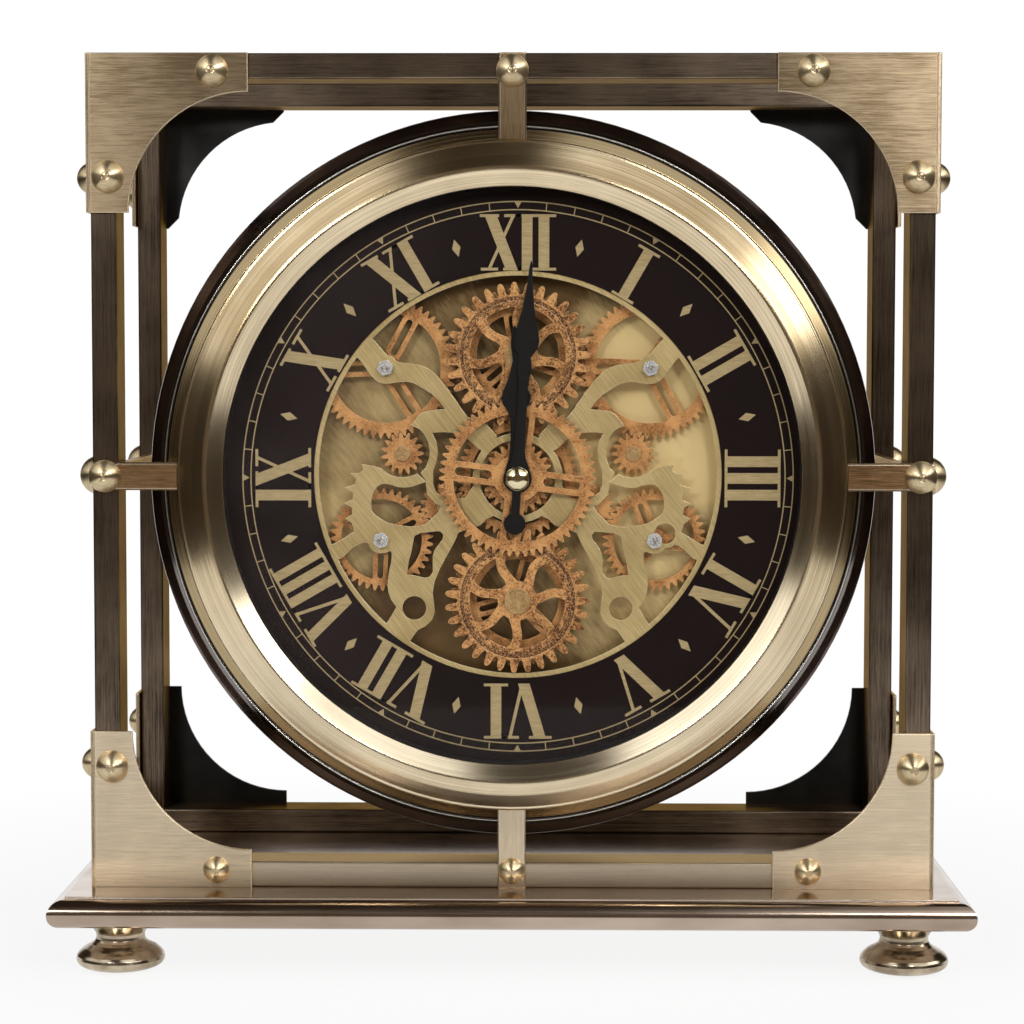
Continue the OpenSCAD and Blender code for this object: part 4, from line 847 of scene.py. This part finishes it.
# %% Finish the small metal parts and the movement box
NUTS_ASIDE = 15 * MM


def screw_ends(tree, colour):
    """The four pins beside the wheels end as steel screws in the nuts, before the dial."""
    place = split(tree, centred(tree, DIAL_CENTRE))
    aside = calc(tree, "GREATER_THAN", calc(tree, "ABSOLUTE", place["X"]), NUTS_ASIDE)
    end = multiply(tree, aside, calc(tree, "LESS_THAN", place["Y"], 0.0))
    cuts = remap(tree, speckle(tree, 0.9 * MM), 0.4, 0.6)
    steel = blend_colours(tree, cuts, rgb(0.3, 0.27, 0.24), rgb(0.8, 0.78, 0.75))
    return blend_colours(tree, end, colour, steel)


paint(brushed_brass("arbor_brass", spot(0.7 * MM), spot(2 * MM), spot(4 * MM),
                    rgb(0.36, 0.2, 0.07), rgb(0.78, 0.54, 0.26), rgb(0.92, 0.72, 0.42), 0.42,
                    edge_radius=0.25 * MM, tone=screw_ends), "arbors")
made, tree, shader = start("nut_plated", 0.55)
grain = speckle(tree, 0.4 * MM)
feed(tree, shader, Base_Color=blend_colours(tree, grain, rgb(0.62, 0.63, 0.65), rgb(0.9, 0.91, 0.93)),
     Roughness=remap(tree, grain, 0.3, 0.7, 0.2, 0.35), Normal=edge_wear(tree, 0.2 * MM)[0])
paint(made, "plate_nuts", "plate_posts")
paint(grained("box_plastic", 0.45, 0.35 * MM, rgb(0.014, 0.014, 0.015), rgb(0.03, 0.03, 0.032),
              (0.5, 0.62), 0.05 * MM, 0.5, 0.4 * MM), "movement_box", "set_knob", "battery_door")

# %% Blacken the hands and polish their brass cap
CAP_R = 4.7 * MM
CAP_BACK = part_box("minute_hand")[0].y + 2.5 * MM - DIAL_FACE
made, tree, shader = start("hand_matt", 0.0, Specular_IOR_Level=0.12)
reach, _, depth = around(tree, DIAL_CENTRE)
cap = multiply(tree, calc(tree, "LESS_THAN", reach, CAP_R), calc(tree, "LESS_THAN", depth, CAP_BACK))
black = blend_colours(tree, speckle(tree, 0.4 * MM), rgb(0.004, 0.004, 0.004), rgb(0.014, 0.013, 0.012))
domed = add(tree, "ShaderNodeBevel", Radius=1.2 * MM)
domed.samples = 8
smooth = tree.nodes.new("ShaderNodeMix")
smooth.data_type = "VECTOR"
for index, value in ((0, cap), (4, edge_wear(tree, 0.15 * MM)[0]), (5, domed.outputs[0])):
    fill(tree, smooth, index, value)
feed(tree, shader, Base_Color=blend_colours(tree, cap, black, rgb(0.86, 0.76, 0.5)), Metallic=cap,
     Roughness=remap(tree, cap, 0.0, 1.0, 0.55, 0.1), Normal=smooth.outputs[1])
paint(made, "hour_hand", "minute_hand")

# %% [markdown]
# ## Dial print
# The numerals, the minute track and the small lozenges are gold ink, screened onto the brown
# lacquer. Each stroke is a thin block of ink. Thick and thin strokes lie at slightly
# different heights, as overprinted ink does, so no two faces share one place.

# %% Ink helpers
INK = 0.04 * MM
STEP = 0.006 * MM


def dial_place(angle, radius):
    """Moves a flat shape drawn about the origin to an hour angle and a radius on the dial face."""
    turn = Matrix.Rotation(angle, 4, "Y")
    return Matrix.Translation(DIAL_CENTRE) @ turn @ Matrix.Translation((0, 0, radius))


def ink_block(shape, place, width, height, x=0.0, z=0.0, slope=0.0, level=0):
    """One stroke: a box of the given size about x, z, whose top leans over by slope."""
    lean = Matrix.Identity(4)
    lean[0][2] = slope / height
    thick = INK + STEP * level
    size = Matrix.Diagonal((width, thick, height, 1))
    at = place @ Matrix.Translation((x, -thick / 2, z)) @ lean @ size
    bmesh.ops.create_cube(shape, size=1.0, matrix=at)


def ink_piece(name, shape, material):
    bmesh.ops.recalc_face_normals(shape, faces=shape.faces)
    mesh = bpy.data.meshes.new(name)
    shape.to_mesh(mesh)
    shape.free()
    mesh.materials.append(material)
    piece = bpy.data.objects.new(name, mesh)
    bpy.context.scene.collection.objects.link(piece)
    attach(piece, CLOCK)
    return piece

# %% Mix the gold ink
gold_ink, tree, shader = start("gold_ink", 0.35, Specular_IOR_Level=0.4)
grain = noise(tree, centred(tree, size=(5 * MM, 1 * MM, 0.5 * MM)), 4.0, 0.7)
colour = blend_colours(tree, remap(tree, grain, 0.3, 0.7), rgb(0.36, 0.265, 0.12), rgb(0.54, 0.42, 0.22))
feed(tree, shader, Base_Color=colour, Roughness=remap(tree, grain, 0.3, 0.7, 0.52, 0.4))

# %% Numeral strokes
NUMERAL_R = 92.6 * MM
NUMERAL_H = 22.0 * MM
STEM_W = 4.2 * MM
HAIR_W = 1.3 * MM
SERIF_H = 1.1 * MM
STEM_PITCH = 6.6 * MM
SERIF_OUT = 2.7 * MM
LETTER_LAP = 3.0 * MM
WIDEST = 35.4 * MM
HOUR_ANGLE = math.tau / 12


def stems(shape, place, x, count, squeeze):
    width = (STEM_W + STEM_PITCH * (count - 1) + 2 * SERIF_OUT) * squeeze
    for index in range(count):
        at = x + (index - (count - 1) / 2) * STEM_PITCH * squeeze
        ink_block(shape, place, STEM_W * squeeze, NUMERAL_H, at, level=1)
    for end in (-1, 1):
        ink_block(shape, place, width, SERIF_H, x, end * (NUMERAL_H - SERIF_H) / 2)


def letter_v(shape, place, x, squeeze):
    """A thick stroke down to the foot, a hair stroke up again, and a serif on each."""
    unit = MM * squeeze
    top = (NUMERAL_H - SERIF_H) / 2
    ink_block(shape, place, 4.6 * unit, NUMERAL_H, x - 2.5 * unit, 0, -6.6 * unit, 1)
    ink_block(shape, place, HAIR_W, NUMERAL_H, x + 3.9 * unit, 0, 5.0 * unit, 2)
    ink_block(shape, place, 9.0 * unit, SERIF_H, x - 5.8 * unit, top)
    ink_block(shape, place, 7.4 * unit, SERIF_H, x + 6.4 * unit, top)


def letter_x(shape, place, x, squeeze):
    """A thick stroke and a hair stroke that cross, with serifs on their four ends."""
    unit = MM * squeeze
    top = (NUMERAL_H - SERIF_H) / 2
    ink_block(shape, place, 4.7 * unit, NUMERAL_H, x, 0, -8.6 * unit, 1)
    ink_block(shape, place, HAIR_W, NUMERAL_H, x, 0, 10.0 * unit, 2)
    for side, end in ((-1, 1), (1, 1), (-1, -1), (1, -1)):
        width = 7.6 * unit if side * end < 0 else 6.8 * unit
        ink_block(shape, place, width, SERIF_H, x + side * 4.6 * unit, end * top)

# %% Print the twelve numerals
GROUPS = {"V": (20.0 * MM, letter_v), "X": (16.8 * MM, letter_x)}
HOURS = ["XII", "I", "II", "III", "IV", "V", "VI", "VII", "VIII", "IX", "X", "XI"]


def split_numeral(text):
    groups = []
    for letter in text:
        if letter == "I" and groups and groups[-1][0] == "I":
            groups[-1] += "I"
        else:
            groups.append(letter)
    return groups


def group_width(group):
    if group[0] == "I":
        return STEM_W + STEM_PITCH * (len(group) - 1) + 2 * SERIF_OUT
    return GROUPS[group][0]


shape = bmesh.new()
for hour, text in enumerate(HOURS):
    place = dial_place(hour * HOUR_ANGLE, NUMERAL_R)
    groups = split_numeral(text)
    total = sum(group_width(group) for group in groups) - LETTER_LAP * (len(groups) - 1)
    squeeze = min(1.0, WIDEST / total)
    x = -total / 2
    for group in groups:
        width = group_width(group)
        middle = (x + width / 2) * squeeze
        if group[0] == "I":
            stems(shape, place, middle, len(group), squeeze)
        else:
            GROUPS[group][1](shape, place, middle, squeeze)
        x += width - LETTER_LAP
numerals = ink_piece("dial_numerals", shape, gold_ink)
print("numeral faces:", len(numerals.data.polygons))

# %% Print the minute track
TRACK_OUT = 108.6 * MM
TRACK_IN = 105.4 * MM
LINE_W = 0.45 * MM
MARK_W = 0.4 * MM
TRACK_STEPS = 240
MINUTE_ANGLE = math.tau / 60
shape = bmesh.new()
for radius in (TRACK_OUT, TRACK_IN):
    first = Matrix.Translation(DIAL_CENTRE) @ Matrix.Translation((0, -INK / 2, radius))
    flat = Matrix.Rotation(math.pi / 2, 4, "Y") @ Matrix.Diagonal((LINE_W, INK, 1, 1))
    strip = bmesh.ops.create_grid(shape, x_segments=1, y_segments=1, size=0.5, matrix=first @ flat)
    faces = list(dict.fromkeys(face for corner in strip["verts"] for face in corner.link_faces))
    edges = list(dict.fromkeys(edge for face in faces for edge in face.edges))
    bmesh.ops.spin(shape, geom=edges, cent=DIAL_CENTRE, axis=LEVEL_AXIS, angle=math.tau,
                   steps=TRACK_STEPS, use_merge=True)
    bmesh.ops.delete(shape, geom=faces, context="FACES_ONLY")
for minute in range(60):
    if minute % 5:
        place = dial_place(minute * MINUTE_ANGLE, (TRACK_OUT + TRACK_IN) / 2)
        ink_block(shape, place, MARK_W, TRACK_OUT - TRACK_IN, level=1)
track = ink_piece("minute_track", shape, gold_ink)

# %% Print the hour points and the lozenges
POINT = {"radius": TRACK_OUT - 0.9 * MM, "corners": 3, "width": 3.3 * MM, "height": 3.4 * MM}
LOZENGE = {"radius": 93.5 * MM, "corners": 4, "width": 3.4 * MM, "height": 7.0 * MM}


def ink_mark(shape, angle, turn, radius, corners, width, height):
    """A small flat mark with three or four corners, at an angle on the dial."""
    at = dial_place(angle, radius) @ Matrix.Translation((0, -INK / 2, 0))
    size = Matrix.Diagonal((width / 2, 1, height / 2, 1))
    lie = Matrix.Rotation(math.pi / 2, 4, "X") @ Matrix.Rotation(turn, 4, "Z")
    bmesh.ops.create_cone(shape, cap_ends=True, segments=corners, radius1=1.0, radius2=1.0,
                          depth=INK + 2 * STEP, matrix=at @ size @ lie)


shape = bmesh.new()
for hour in range(12):
    ink_mark(shape, hour * HOUR_ANGLE, math.pi, **POINT)
    ink_mark(shape, (hour + 0.5) * HOUR_ANGLE, 0, **LOZENGE)
points = ink_piece("hour_points", shape, gold_ink)
print("track faces:", len(track.data.polygons), "point faces:", len(points.data.polygons))
